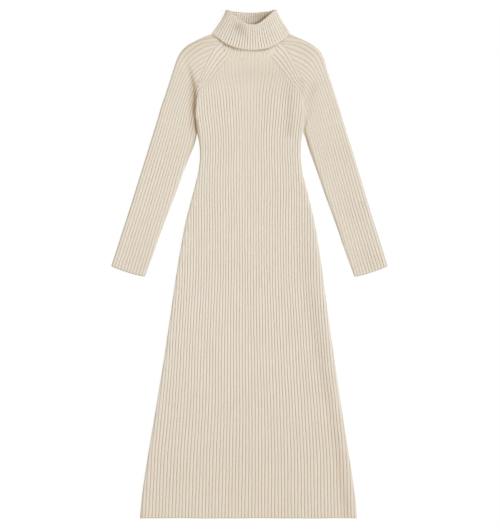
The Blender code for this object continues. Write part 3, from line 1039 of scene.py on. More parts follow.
    def arm_grid(self) -> tuple[Array, Array, Array]:
        """The arm's grid.

        Returns:
            Its points in plan, each point's true column, and its distance from the cuff.
        """
        length = self.arm_rows[-1][0]
        first = length - self.cuff_rows[0]
        main = np.linspace(0.0, first, round(first / self.arm_step) + 1)
        along = np.concatenate([main[:-1], length - np.array(self.cuff_rows)])
        reach = self.reach(along)
        along = along[:, None]
        width = self.arm.read("width", along)
        column = 2.0 * reach / self.arm.read("pitch", along)
        share = reach / width
        inset = np.minimum(reach, width - reach)
        from_cuff = np.repeat(length - along, reach.shape[1], axis=1)
        bulge = self.cuff_bulge_fade.at(from_cuff) * self.cuff_bulge * 4.0 * share * (1.0 - share)
        scallop = self.scallop * (1.0 - rib_rise(column / 2.0 + 0.5))
        bulge = bulge - self.cuff_fade.at(from_cuff) * (nipped(inset, self.corner) + scallop)
        strays = sway(column / 2.0, along) * self.sway_inset.at(inset) * self.sway_along.at(along)
        return self.arm_point(along + bulge, reach + strays), column, from_cuff

    def band_columns(self) -> Array:
        """Numbers of the grid columns that start on the band."""
        first, last = self.band_first - self.margin, self.band_last + self.margin
        return np.nonzero((self.columns > first) & (self.columns < last))[0]

    def band_grid(self, starts: Array) -> Array:
        """The raglan band's grid in plan, from the raglan seam up to the shoulder's first row.

        Args:
            starts: the shoulder's first row.

        Returns:
            The band's points.
        """
        chosen = self.band_columns()
        share = (self.columns[chosen] - self.band_first) / (self.band_last - self.band_first)
        height = between(self.band_top, self.body.armpit, share)
        foot = stack(-self.body.table.read("left", height) - self.seam_gap, height)
        rows = np.arange(self.band_rows + 1)[:, None, None] / self.band_rows
        return between(foot[None], starts[chosen][None], rows)

    def grid(self) -> SleeveGrid:
        """Lays out the shoulder, the arm and the band.

        Returns:
            The sleeve's whole grid in plan.
        """
        shoulder, from_start = self.shoulder()
        arm, arm_columns, from_cuff = self.arm_grid()
        columns = np.vstack([np.broadcast_to(self.columns, from_start.shape), arm_columns])
        main = np.concatenate([shoulder, arm])
        return SleeveGrid(main, columns, from_start, from_cuff, self.band_grid(shoulder[0]))


@dataclass(frozen=True)
class SleeveLay:
    """How one sleeve was laid out by hand, which sets it apart from the other.

    Creases are strokes that press the knit down, and shades are strokes of painted shade, both in
    the left sleeve's plan: where each starts and ends, its strength at both, and its half width.
    The drift says how many ribs the knit has turned round the arm at the underarm and at the cuff.
    The depths are the ribs' own at the shoulder, the upper arm and the cuff, and also set their
    painted valley shade. The least shade is painted shade laid evenly over the sleeve, and the
    band shade is painted shade on its raglan band. The outline's rows are a height and how far in
    from the plan the sleeve's outer fold lies there, and the inner rows say the same of its inner
    fold. The shoulder's lift raises it beside the collar.
    """

    drift: tuple
    depths: tuple
    inner_depth: float
    least_shade: float
    band_shade: float
    creases: tuple
    shades: tuple
    outline: tuple
    inner: tuple
    shoulder_lift: float


LEFT_LAY = SleeveLay(
    drift=(0.33, 0.48),
    depths=(0.6, 0.8, 0.87),
    inner_depth=0.86,
    # Painted shade: an even one over the sleeve and another on its raglan band.
    least_shade=0.1,
    band_shade=0.08,
    creases=(
        (-170, 1256, -154, 1194, 0.2, 1.6, 7), (-154, 1194, -156, 1140, 1.8, 3, 10),
        (-156, 1140, -150, 1082, 3, 3, 11),
    ),
    # Strokes of painted shade: under the collar's roll, on the shoulder, down the armpit's fold
    # and on the lower arm.
    shades=(
        (-110, 1355, -88, 1339, 0.28, 0.36, 3.4), (-88, 1339, -70, 1327, 0.36, 0.4, 3.4),
        (-120, 1345, -180, 1312, 0.07, 0.09, 24), (-180, 1290, -168, 1248, 0, 0.25, 5),
        (-168, 1248, -157.5, 1206, 0.25, 0.62, 6.5), (-157.5, 1206, -156.5, 1180, 0.62, 0.95, 6),
        (-156.5, 1180, -158, 1142, 0.95, 1, 5.4), (-158, 1142, -153.5, 1100, 1, 0.95, 4.6),
        (-153.5, 1100, -148.5, 1076, 0.95, 1, 4.4), (-148.5, 1076, -153, 1056, 0.95, 0.8, 4.4),
        (-153, 1056, -164, 1030, 0.6, 0.25, 3.6), (-164, 1030, -181, 985, 0.25, 0, 3.4),
        (-163, 1236, -163, 1190, 0.16, 0.32, 9), (-163, 1190, -162, 1100, 0.32, 0.28, 9),
        (-162, 1100, -156, 1060, 0.28, 0.08, 9), (-225, 900, -300, 720, 0, 0.05, 80),
    ),
    outline=(
        (711, -1.8), (735, -1.2), (790, -0.8), (860, 0.2), (1000, 0.4), (1142, 0.6), (1162, 1.6),
        (1184, 3), (1226, 2), (1254, 2), (1282, 2.4), (1296, 4.6), (1310, 5.7), (1322, 5.2),
        (1334, 4.4), (1346, 1.5), (1356, 0),
    ),
    inner=(
        (711, 0.8), (735, 1.2), (823, 2.6), (868, 1), (912, 1.2), (975, 2.4), (1012, 1.6),
        (1040, 0), (1080, 0),
    ),
    shoulder_lift=1.3,
)
RIGHT_LAY = SleeveLay(
    drift=(0.57, 0.23),
    depths=(0.64, 0.72, 0.88),
    inner_depth=0.68,
    # Painted shade: an even one over the sleeve and another on its raglan band.
    least_shade=0.08,
    band_shade=0.12,
    creases=(
        (-151, 1188, -155, 1140, 0, 0.5, 6), (-155, 1140, -150, 1082, 0.5, 1.4, 6),
    ),
    # Strokes of painted shade: under the collar's roll, on the shoulder, by the armpit, down the
    # inner fold and on the lower arm.
    shades=(
        (-110, 1355, -88, 1339, 0.2, 0.26, 3.4), (-88, 1339, -70, 1327, 0.26, 0.3, 3.4),
        (-120, 1335, -165, 1308, 0.06, 0.08, 24), (-182, 1228, -180, 1204, 0.02, 0.1, 13),
        (-180, 1204, -172, 1176, 0.1, 0.08, 12), (-172, 1176, -166, 1116, 0.08, 0.06, 10),
        (-161, 1120, -154, 1090, 0.2, 0.3, 3), (-154, 1090, -154.5, 1072, 0.36, 0.5, 3.2),
        (-154.5, 1072, -160.6, 1044, 0.5, 0.46, 3.4),
        (-160.6, 1044, -174.8, 1002, 0.46, 0.32, 3.4), (-174.8, 1002, -216, 890, 0.26, 0.2, 3.4),
        (-216, 890, -261.5, 764, 0.2, 0.2, 3.4), (-250, 1080, -345, 720, 0.03, 0.08, 45),
    ),
    outline=(
        (711, 0.5), (770, 0.8), (861, 1.4), (940, 0.8), (1020, 0), (1142, 0.2), (1184, 1.6),
        (1226, 0.8), (1254, 1), (1282, -0.6), (1296, 1), (1310, 1.8), (1322, 2), (1334, 1.2),
        (1350, -1), (1356, 0),
    ),
    inner=(
        (711, 1.9), (770, 1.9), (800, 3.2), (868, 3), (912, 3), (957, 4.4), (1000, 5), (1056, 5),
        (1070, 3.2), (1084, 0),
    ),
    shoulder_lift=2.6,
)


@dataclass
class Sleeve:
    """A sleeve with its raglan band: a flattened tube, open at the cuff and the armhole."""

    plan: SleevePlan
    relief: KnitRelief
    side: Side
    lay: SleeveLay
    lean: float = 0.0015
    lean_from: float = 1060.0
    outline_inset: Fade = Fade(-115.0, -60.0)
    inner_inset: Fade = Fade(70.0, -70.0)
    underarm: tuple = (-148.5, 1078.0)
    inner_slant: float = 0.352
    lift_across: Spot = Spot(-114.0, 14.0)
    lift_height: Fade = Fade(1336.0, 12.0)
    fold_round: float = 9.0
    under_round: float = 6.0
    under_height: float = 1.5
    wave: float = 0.25
    least_top: float = 3.7
    inset: float = 3.0
    drift_run: float = 90.0
    upper_arm: Fade = Fade(1250.0, -130.0)
    lower_arm: Fade = Fade(1140.0, -340.0)
    start_depth: float = 0.35
    start_fade: Fade = Fade(0.0, 9.0)
    armhole_fade: Fade = Fade(0.0, 3.0)
    inner_ribs: Fade = Fade(4.5, 7.0)
    inner_height: Fade = Fade(1230.0, -60.0)
    band_depth: float = 0.9
    band_fade: float = 6.0
    band_edge: float = 0.16
    band_blend: Fade = Fade(0.9, 0.1)
    band_height: Fade = Fade(1345.0, -70.0)
    # Painted shade along the cuff's edge, and how much more of a fold's painted shade falls in the
    # rib valleys than on the crests.
    cuff_shade: float = 0.26
    valley_shade: float = 1.4
    crest_shade: float = 0.84
    course: float = 5.0

    def placed(self, places: Array, level: Array) -> Array:
        """Points on the sleeve's own side, as it was laid; the right arm lies a little closer in.

        Args:
            places: points in the left sleeve's plan.
            level: their levels.

        Returns:
            Across, height and level.
        """
        across, height = places[..., 0], places[..., 1]
        lift = self.lift_across.at(across) * self.lift_height.at(height)
        edge, turn = self.underarm
        away = edge - (turn - height) * self.inner_slant - across
        outline = curve_of(self.lay.outline).at(height)[..., 0]
        across = across + outline * self.outline_inset.at(across)
        across = across - curve_of(self.lay.inner).at(height)[..., 0] * self.inner_inset.at(away)
        height = height + self.lay.shoulder_lift * lift
        if self.side is Side.RIGHT:
            across = across - self.lean * np.minimum(height - self.lean_from, 0.0)
        return stack(self.side.value * across, height, level)

    def levels(self, places: Array, knit: Array, folds: Sequence[Array]) -> tuple[Array, Array]:
        """Levels of the upper and the lower side.

        Args:
            places: points in plan.
            knit: height of the ribs there, from 0 to 1.
            folds: the lines of the outer and the inner fold.

        Returns:
            The upper side's levels and the lower side's.
        """
        relief = self.relief
        away = np.minimum(*(distance_to_line(places, fold) for fold in folds))
        top = relief.front_level + relief.ply + relief.rise * knit
        top = top + self.wave * swell(places[..., 0], places[..., 1])
        top = np.maximum(top - strokes(places, self.lay.creases), self.least_top)
        upper = between(relief.fold_level, top, rounded(away, self.fold_round))
        low = relief.underside_rise * (1.0 - knit)
        return upper, between(relief.fold_level, low, rounded(away, self.under_round))

    def bound_levels(self, grid: SleeveGrid, upper: Array, lower: Array) -> tuple[Array, Array]:
        """Levels of both sides once the cuff is bound off.

        Args:
            grid: the sleeve's grid.
            upper: the upper side's levels without a cuff.
            lower: the lower side's.

        Returns:
            The upper side's levels and the lower side's.
        """
        relief = self.relief
        no_cuff = np.full_like(grid.from_start, np.inf)
        full, line = relief.edge_shape(np.vstack([no_cuff, grid.from_cuff]))
        share = np.clip((upper - relief.fold_level) / relief.ply, 0.0, 1.0)
        end = between(relief.fold_level, relief.front_level, share)
        upper = np.maximum(between(end, upper, full) + line * full * share, end)
        share = np.clip((relief.fold_level - lower) / self.under_height, 0.0, 1.0)
        end = between(relief.fold_level, relief.back_level, share)
        return upper, between(end, lower, full)

    def ribs(self, grid: SleeveGrid) -> Array:
        """Rib numbers, once the knit has drifted round the arm.

        Args:
            grid: the sleeve's grid.

        Returns:
            The rib number at each point.
        """
        length = self.plan.arm_rows[-1][0]
        first, last = self.lay.drift
        above = first * smooth(grid.from_start / self.drift_run)
        below = between(first, last, (length - grid.from_cuff) / length)
        return grid.columns / 2.0 + 0.5 + np.vstack([above, below])

    def depth(self, grid: SleeveGrid, ribs: Array) -> Array:
        """How deep the ribs are, and so how much painted shade their valleys get.

        Args:
            grid: the sleeve's grid.
            ribs: the rib number at each point.

        Returns:
            The depth at each point.
        """
        height, shoulder = grid.main[..., 1], len(grid.from_start)
        at_shoulder, upper_arm, at_cuff = self.lay.depths
        depth = between(at_shoulder, upper_arm, self.upper_arm.at(height))
        depth = between(depth, at_cuff, self.lower_arm.at(height))
        on_armhole = self.plan.columns[None, :] > self.plan.band_last
        quick, slow = self.armhole_fade.at(grid.from_start), self.start_fade.at(grid.from_start)
        depth[:shoulder] *= between(self.start_depth, 1.0, np.where(on_armhole, quick, slow))
        depth[shoulder:] *= self.relief.bound_off(grid.from_cuff)
        inner = self.inner_ribs.at(ribs) * self.inner_height.at(height)
        return depth * between(1.0, self.lay.inner_depth, inner)

    def shade(self, grid: SleeveGrid, ribs: Array) -> Array:
        """Painted shade in folds and along the cuff; a fold's painted shade is darkest in the
        valleys between its ribs.

        Args:
            grid: the sleeve's grid.
            ribs: the rib number at each point.

        Returns:
            The shade at each point.
        """
        folds = between(self.valley_shade, self.crest_shade, rib_rise(ribs))
        folds = np.minimum(strokes(grid.main, self.lay.shades) * folds, 1.0)
        cuff = self.cuff_shade * self.relief.shadow_at.at(grid.from_cuff)
        cuff = np.vstack([np.zeros_like(grid.from_start), cuff])
        return between(self.lay.least_shade, 1.0, np.maximum(cuff, folds))

    def band_marks(self, band: Array, depth: Array) -> Array:
        """Marks of the raglan band, whose ribs run beside the seam and end at the sleeve's own.

        Args:
            band: the band's points in plan.
            depth: the sleeve's depth where it meets the band.

        Returns:
            Rib, course, depth and shade of each point.
        """
        plan = self.plan
        gap = distance_to_line(band, band[0])
        pitch = np.maximum(gap[-1] / plan.band_ribs, plan.band_pitch)[None, :]
        ribs = self.band_edge + gap / pitch * (1.0 - self.band_edge / plan.band_ribs)
        own = self.band_depth * np.clip(gap[-1:] / self.band_fade, 0.0, 1.0)
        steps = np.linalg.norm(np.diff(band[0], axis=0, prepend=band[0][:1]), axis=-1)
        # Painted shade on the band, fading out towards the collar, with the lay's strokes of
        # painted shade on top.
        shade = self.lay.band_shade * self.band_height.at(band[..., 1])
        shade = between(shade, 1.0, strokes(band, self.lay.shades))
        depth = between(own, depth[None, :], self.blend())
        return stack(ribs, np.cumsum(steps)[None, :] / self.course, depth, shade)

    def blend(self) -> Array:
        """How much each of the band's rows takes from the shoulder that it meets."""
        rows = self.plan.band_rows
        return self.band_blend.at(np.arange(rows + 1)[:, None] / rows)

    def build(self, name: str, material: bpy.types.Material) -> bpy.types.Object:
        """Makes the sleeve.

        Args:
            name: the piece's name.
            material: its finish.

        Returns:
            The closed piece.
        """
        grid = self.plan.grid()
        main, band, chosen = grid.main, grid.band, self.plan.band_columns()
        folds = [main[:, 0], main[len(grid.from_start) :, -1]]
        ribs = self.ribs(grid)
        depth = self.depth(grid, ribs)
        knit = rib_rise(ribs) * depth
        sides = self.bound_levels(grid, *self.levels(main, knit, folds))
        from_cuff = self.plan.arm_rows[-1][0] - grid.from_cuff
        course = np.vstack([grid.from_start - grid.from_start[-1:], from_cuff]) / self.course
        # The painted valley shade leans towards each rib's shaded flank.
        tinted = ribs - self.side.value * PAINTED_SHADE_LEAN
        marks = stack(tinted, course, depth, self.shade(grid, ribs))
        band_marks = self.band_marks(band, depth[0, chosen])
        band_knit = rib_rise(band_marks[..., 0]) * band_marks[..., 2]
        band_knit = between(band_knit, knit[0, chosen][None, :], self.blend())
        mesh = KnitMesh()
        rims = []
        for level, band_level in zip(sides, self.levels(band, band_knit, folds)):
            band_level[:, -1] = level[0, chosen[-1]]
            numbers = mesh.grid(self.placed(main, level), marks)
            band_numbers = mesh.points(self.placed(band, band_level), band_marks)
            band_numbers[-1] = numbers[0, chosen]
            mesh.skin(band_numbers)
            seam = [band_numbers[:0:-1, 0], band_numbers[0]]
            mouth = [numbers[0, : chosen[0]], *seam, numbers[0, chosen[-1] + 1 :]]
            rims.append((np.concatenate(mouth), numbers))
        self.close(mesh, rims, main, len(grid.from_start))
        return mesh.build(name, material)

    def close(self, mesh: KnitMesh, rims: list, main: Array, shoulder: int) -> None:
        """Lines the tube and closes its cuff, its armhole and the two folds between them.

        Args:
            mesh: the mesh that holds both outer sides.
            rims: for the upper and the lower side, the numbers of the mouth and of the grid.
            main: the grid in plan.
            shoulder: how many of its rows belong to the shoulder.
        """
        outer = self.inward(main[:, 0], 1.0)
        inner = self.inward(main[:, -1], -1.0)[shoulder:]
        tips, linings = [], []
        for (mouth, grid), level in zip(rims, (self.relief.front_level, self.relief.back_level)):
            outer_line = self.line(mesh, outer, level)
            inner_line = self.line(mesh, inner, level)
            mouth_line = mesh.at_level(mouth[1:-1], level)
            cuff_line = mesh.at_level(grid[-1, 1:-1], level)
            mouth_all = np.concatenate([outer_line[:1], mouth_line, inner_line[:1]])
            mesh.wall(mouth, mouth_all)
            mesh.wall(grid[-1], np.concatenate([outer_line[-1:], cuff_line, inner_line[-1:]]))
            lining = [mouth_all, inner_line[1:], cuff_line[::-1], outer_line[:0:-1]]
            mesh.lid(np.concatenate(lining))
            linings.append((outer_line, inner_line))
            tips.append((mouth[0], mouth[-1], grid[-1, 0], grid[-1, -1]))
        for first, second in zip(*linings):
            mesh.wall(first, second)
        for tip, fold, end in zip(tips[0], (0, 1, 0, 1), (0, 0, -1, -1)):
            mesh.lid(np.array([tip, linings[0][fold][end], linings[1][fold][end]]))

    def inward(self, line: Array, turn: float) -> Array:
        """A fold's line, moved a short step in and square to itself.

        Args:
            line: the fold's line in plan.
            turn: 1 where in lies to the line's left, and -1 where it lies to the right.

        Returns:
            The line of the lining beside the fold.
        """
        run = np.gradient(line, axis=0)
        run = run / np.maximum(np.linalg.norm(run, axis=1, keepdims=True), 1e-6)
        return line + self.inset * turn * np.stack([-run[:, 1], run[:, 0]], axis=1)

    def line(self, mesh: KnitMesh, places: Array, level: float) -> Array:
        """Adds a line of the lining's points and gives their numbers."""
        marks = np.zeros((len(places), 4))
        return mesh.points(self.placed(places, np.full(len(places), level)), marks)


@dataclass
class CollarSizes:
    """Sizes of the collar: one tube that turns over at its rim and hangs back down as a roll.

    Its wall is drawn as lines of points, counted from the tube's foot inside: up the tube, over
    the rim, down the roll to its edge, back up under it, and down the stand to its foot outside.
    Each line's down is 0 at the rim and 1 at the roll's edge or at the foot.
    """

    shift: float = 2.4
    ribs: int = 29
    back_ribs: int = 22
    columns_a_rib: int = 8
    ply: float = 3.0
    space: float = 0.8
    rim_halves: tuple = (72.9, 75.6)
    roll_side: tuple = (109.0, 1356.6)
    stand_side: tuple = (97.8, 1352.6)
    rim_front: tuple = (
        (-71.6, 1421.8), (-67, 1421.6), (-58.4, 1415.6), (-47.5, 1407.2), (-35.2, 1397),
        (-22.6, 1389.2), (-12.5, 1383.4), (-2.7, 1381.4), (9.9, 1381.2), (22.5, 1384.6),
        (34.8, 1392.8), (47, 1402.8), (58.6, 1412.2), (66.5, 1419.4), (73.4, 1422.6),
    )
    rim_back: tuple = (
        (-71.6, 1421.8), (-63, 1420.8), (-56, 1418.4), (-40, 1416.8), (-20, 1415), (0, 1414.4),
        (20, 1415), (38, 1417.2), (54, 1418.4), (62, 1420.4), (66, 1422.2), (73.4, 1422.6),
    )
    roll_front: tuple = (
        (-109, 1356.6), (-88.4, 1341.2), (-76.3, 1331.4), (-65.4, 1325), (-46.4, 1317.8),
        (-26.5, 1312.6), (3.2, 1309.8), (27.6, 1311.4), (47.7, 1315.4), (67.6, 1324.6),
        (83.6, 1334), (99.5, 1346.6), (109, 1356.6),
    )
    roll_back: float = 1346.0
    foot_back: float = 1346.8
    foot_rise: float = 5.8
    stand: tuple = (
        (-14.5, -97.8, 1352.6, 7.2), (-9.75, -80.6, 1335.2, 7.2), (-5.5, -59.2, 1290.9, 3.5),
        (-3, -33, 1284.9, 3.3), (0, 0, 1282.2, 3.3), (3, 33, 1284.9, 3.3),
        (5.5, 59.2, 1290.9, 3.5), (9.75, 80.6, 1335.2, 7.2), (14.5, 97.8, 1352.6, 7.2),
    )
    rim_level: float = 16.4
    edge_level: float = 9.6
    foot_middle: float = 7.0
    side_roll: float = 17.0
    dome: float = 56.0
    hollows: tuple = (0.058, 0.044)
    hollow_high: float = 0.6
    flare: float = 0.009
    flare_down: Fade = Fade(0.5, 0.3)
    rise: float = 2.2
    inner_rise: float = 1.7
    mean_crest: float = 0.6
    back_lift: float = 5.5
    growth: Fade = Fade(0.0, 0.3)
    tube_downs: tuple = (1.0, 0.85, 0.7, 0.55, 0.4, 0.25, 0.12)
    turn_lines: int = 9
    roll_downs: tuple = (0.09, 0.14, 0.2, 0.27, 0.34, 0.42, 0.5, 0.58, 0.66, 0.74, 0.81, 0.87)
    edge_downs: tuple = (0.91, 0.93, 0.945, 0.96, 0.975, 0.987, 0.996, 1.0)
    lining_downs: tuple = (0.985, 0.95, 0.85, 0.7, 0.5, 0.3, 0.16)
    core_down: float = 0.1
    stand_downs: tuple = (0.16, 0.3, 0.5, 0.62, 0.7, 0.76, 0.82, 0.87, 0.91, 0.95, 0.98, 1.0)

    def __post_init__(self) -> None:
        """Works out the levels inside the wall and at the middle of its rounded sides."""
        self.wall = self.ply + self.space
        self.inside = self.wall + self.ply
        self.rim_middle = (self.rim_level + self.inside) / 2.0
        self.edge_middle = (self.edge_level + self.ply) / 2.0


@dataclass
class CollarHalf:
    """Half of the collar, with the ribs and lines in plan that its columns follow.

    The core is the level of the middle of the wall at the rim. The front and the back each say how
    high their lines lie.
    """

    sizes: CollarSizes
    relief: KnitRelief
    numbers: Array = field(init=False)
    share: Array = field(init=False)
    crest: Array = field(init=False)
    rim: Array = field(init=False)
    edge: Array = field(init=False)
    foot: Array = field(init=False)
    side_round: float = field(init=False)
    core: float = field(init=False)

    def add_columns(self, ribs: int, rim: Sequence) -> None:
        """Places the half's columns along the rim.

        Args:
            ribs: how many ribs the half has.
            rim: points of its rim in plan.
        """
        self.numbers = np.arange(ribs * self.sizes.columns_a_rib + 1) / self.sizes.columns_a_rib
        self.share = self.numbers / ribs
        self.crest = rib_rise(self.numbers)
        self.rim = self.spread(rim)

    def spread(self, points: Sequence) -> Array:
        """The columns' points, spread evenly along a line."""
        line = line_curve(points)
        return line.at(self.share * line.keys[-1])

    def reach(self) -> Array:
        """How far the roll hangs down from the rim at each column."""
        return np.linalg.norm(self.rim - self.edge, axis=1)

    def place(self, down: float, depth: float, level: Array | float, to_edge: bool) -> Array:
        """Points of one line.

        Args:
            down: from 0 at the rim to 1 at the roll's edge or the foot.
            depth: how far inside the roll's outer side the points lie.
            level: their level away from the sides.
            to_edge: True for the roll, False for the tube.

        Returns:
            Across, height and level at each column.
        """
        sizes = self.sizes
        if to_edge:
            end, end_side, end_middle = self.edge, sizes.roll_side[0], sizes.edge_middle
            end_scale = 1.0 - depth / sizes.roll_side[0]
            shift = sizes.shift
        else:
            end, end_side, end_middle = self.foot, sizes.stand_side[0], sizes.foot_middle
            end_scale = 1.0 - max(depth - sizes.wall, 0.0) / end_side
            end_side += sizes.wall
            shift = sizes.shift * (1.0 - down)
        on_left = self.rim[:, 0] < 0.0
        rim_half = np.where(on_left, *sizes.rim_halves)
        rim_across = self.rim[:, 0] * (1.0 - depth / rim_half)
        across = between(rim_across, end[:, 0] * end_scale, down)
        height = between(self.rim[:, 1], end[:, 1], down)
        hollow = np.where(on_left, *sizes.hollows)
        hollow = 1.0 - hollow * math.sin(math.pi * down**sizes.hollow_high)
        hollow = hollow + np.where(across > 0.0, sizes.flare * sizes.flare_down.at(down), 0.0)
        across = across * hollow
        side = between(rim_half, end_side, down) * hollow - depth
        away = np.maximum(side - np.abs(across), 0.0)
        full = rounded(away, self.side_round - depth / 2.0)
        middle = between(sizes.rim_middle, end_middle, down)
        return stack(across + shift, height, between(middle, level, full))

    def section(self) -> Array:
        """Places all of the half's lines.

        Returns:
            The half's points, with a row for each column and a column for each line.
        """
        sizes = self.sizes
        radius = sizes.inside / 2.0
        turn = radius / float(np.median(self.reach()))
        lines = []
        for down in sizes.tube_downs:
            lines.append(self.place(down, sizes.inside, self.tube(down), False))
        for step in np.linspace(0.0, math.pi, sizes.turn_lines):
            inner = (1.0 + math.cos(step)) / 2.0
            down = turn * (1.0 - math.sin(step))
            lines.append(self.place(down, sizes.inside * inner, self.turned(inner), True))
        for down in (*sizes.roll_downs, *sizes.edge_downs):
            lines.append(self.place(down, 0.0, self.roll(down), True))
            lines[-1][..., 2] -= self.dents(lines[-1])
        for down in sizes.lining_downs:
            lines.append(self.place(down, sizes.ply, self.lining(down), True))
        lines.append(self.place(sizes.core_down, radius, self.core, True))
        for down in sizes.stand_downs:
            lines.append(self.place(down, sizes.wall, self.stand(down), False))
        return np.stack(lines, axis=1)

    def tube(self, down: float) -> Array:
        """Level of the tube's inner side."""
        raise NotImplementedError

    def turned(self, inner: float) -> Array:
        """Level on the way over the rim, from 1 inside to 0 outside."""
        raise NotImplementedError

    def roll(self, down: float) -> Array:
        """Level of the roll's outer side."""
        raise NotImplementedError

    def lining(self, down: float) -> float:
        """Level of the roll's inner side."""
        raise NotImplementedError

    def stand(self, down: float) -> Array | float:
        """Level of the tube's outer side."""
        raise NotImplementedError

    def dents(self, places: Array) -> Array:
        """How far soft dents lower the roll; the back has none."""
        return np.zeros(len(places))


@dataclass
class CollarFront(CollarHalf):
    """The collar's upper half: a domed, dented roll, and a stand that ends on the body."""

    panel: FrontPanel
    tube_rib: float = -0.6
    tube_fade: Fade = Fade(1.0, -0.5)
    turn_rib: float = 0.25
    rim_trim: float = 0.5
    edge_tight: float = 1.5
    least_growth: float = 0.25
    least_edge: float = 0.5
    edge_inset: Fade = Fade(1.5, 6.0)
    stand_shows: Fade = Fade(6.0, 12.0)
    stand_depth: float = 1.1
    stand_gap: Fade = Fade(0.0, 20.0)
    stand_ribs: Fade = Fade(0.6, 0.15)
    stand_dip: float = 0.6
    dip_down: Fade = Fade(0.6, 0.3)
    dent_rows: tuple = (
        (1.3, -28, 1367, 1.4, 1, 13), (0.5, 1, 1374, 1 / 1.4, 1.6, 8),
    )

    def __post_init__(self) -> None:
        """Places the half's columns along its rim, its edge and the neckline."""
        sizes = self.sizes
        self.add_columns(sizes.ribs, sizes.rim_front)
        self.edge = self.spread(sizes.roll_front)
        stand = curve_of(sizes.stand).at(self.numbers - sizes.ribs / 2.0)
        self.foot, self.base = stand[:, :2], stand[:, 2]
        self.foot_depth = self.panel.depth(self.foot[:, 0], self.foot[:, 1])
        self.side_round = sizes.dome
        self.core = sizes.rim_level + sizes.inside / 2.0

    def wall_level(self, down: float) -> Array:
        """Level of the tube's wall without its ribs."""
        return between(self.sizes.rim_level, self.base, down)

    def tube(self, down: float) -> Array:
        """Level of the tube's inner side."""
        rib = self.sizes.inner_rise * self.crest * self.tube_rib
        return self.wall_level(down) + rib * self.tube_fade.at(down)

    def turned(self, inner: float) -> Array:
        """Level on the way over the rim, from 1 inside to 0 outside."""
        rib = self.sizes.rise * self.turn_rib * self.crest
        return self.sizes.rim_level + (self.sizes.inside + rib) * (1.0 - inner) - self.rim_trim

    def lining(self, down: float) -> float:
        """Level of the roll's inner side."""
        return between(self.sizes.rim_level + self.sizes.wall, self.sizes.edge_level, down)

    def roll(self, down: float) -> Array:
        """Level of the roll's outer side, whose ribs grow below the rim and fade at the edge.

        Args:
            down: how far down the roll to look, from 0 to 1.

        Returns:
            The level at each column.
        """
        away = (1.0 - down) * self.reach()
        full, line = self.relief.edge_shape(away * self.edge_tight)
        growth = between(self.least_growth, 1.0, self.sizes.growth.at(down))
        rib = growth * self.crest * between(self.least_edge, 1.0, self.edge_inset.at(away))
        knit = self.sizes.ply - self.rim_trim + line + self.sizes.rise * rib
        return self.lining(down) + knit * full

    def stand(self, down: float) -> Array:
        """Level of the tube's outer side, where ribs and a dip show only below the roll.

        Args:
            down: how far down the tube to look, from 0 to 1.

        Returns:
            The level at each column.
        """
        shows = self.stand_shows.at(self.edge[:, 1] - self.foot[:, 1])
        gap = (1.0 - down) * np.linalg.norm(self.rim - self.foot, axis=1)
        rib = self.relief.rise * rib_rise(self.numbers + 0.5) * self.stand_ribs.at(down)
        rib = rib * between(self.foot_depth, self.stand_depth, self.stand_gap.at(gap))
        dip = self.stand_dip * self.dip_down.at(down)
        return self.wall_level(down) + self.sizes.ply + (rib - dip) * shows

    def dents(self, places: Array) -> Array:
        """How far soft dents lower the roll.

        A dent's row holds its depth, the across and height of its middle, how far it is
        stretched each way, and its size.

        Args:
            places: points of the roll.

        Returns:
            The drop at each point.
        """
        dents = np.zeros(len(places))
        for depth, across, height, wide, high, size in self.dent_rows:
            away = np.hypot((places[..., 0] - across) / wide, (places[..., 1] - height) / high)
            dents = dents + depth * bump(away, size)
        return dents


@dataclass
class CollarBack(CollarHalf):
    """The collar's lower half, which lies flat on the floor, with the back panel over its roll."""

    edge_fullness: float = 0.9

    def __post_init__(self) -> None:
        """Places the half's columns along its rim, its edge and the back neckline."""
        sizes = self.sizes
        self.add_columns(sizes.back_ribs, sizes.rim_back)
        across = 2.0 * self.share - 1.0
        drop = sizes.roll_side[1] - sizes.roll_back
        self.edge = stack(across * sizes.roll_side[0], sizes.roll_back + drop * across**2)
        foot = sizes.foot_back + sizes.foot_rise * across**2
        self.foot = stack(across * sizes.stand_side[0], foot)
        self.side_round = sizes.side_roll
        self.core = sizes.inside / 2.0

    def tube(self, down: float) -> Array:
        """Level of the tube's inner side."""
        rib = self.sizes.inner_rise * (self.crest - self.sizes.mean_crest)
        return self.sizes.inside + self.sizes.back_lift * (1.0 - down) ** 2 + rib

    def turned(self, inner: float) -> Array:
        """Level on the way over the rim, from 1 inside to 0 outside."""
        rib = self.sizes.inner_rise * (self.crest - self.sizes.mean_crest)
        return (self.sizes.inside + self.sizes.back_lift + rib) * inner

    def lining(self, down: float) -> float:
        """Level of the roll's inner side."""
        return self.sizes.ply

    def roll(self, down: float) -> Array:
        """Level of the roll's outer side, which faces the floor.

        Args:
            down: how far down the roll to look, from 0 to 1.

        Returns:
            The level at each column.
        """
        full, _ = self.relief.edge_shape((1.0 - down) * self.reach())
        rib = (1.0 - self.crest) * self.sizes.growth.at(down)
        return between(self.sizes.ply * self.edge_fullness, rib, full)

    def stand(self, down: float) -> float:
        """Level of the tube's outer side."""
        return self.sizes.wall


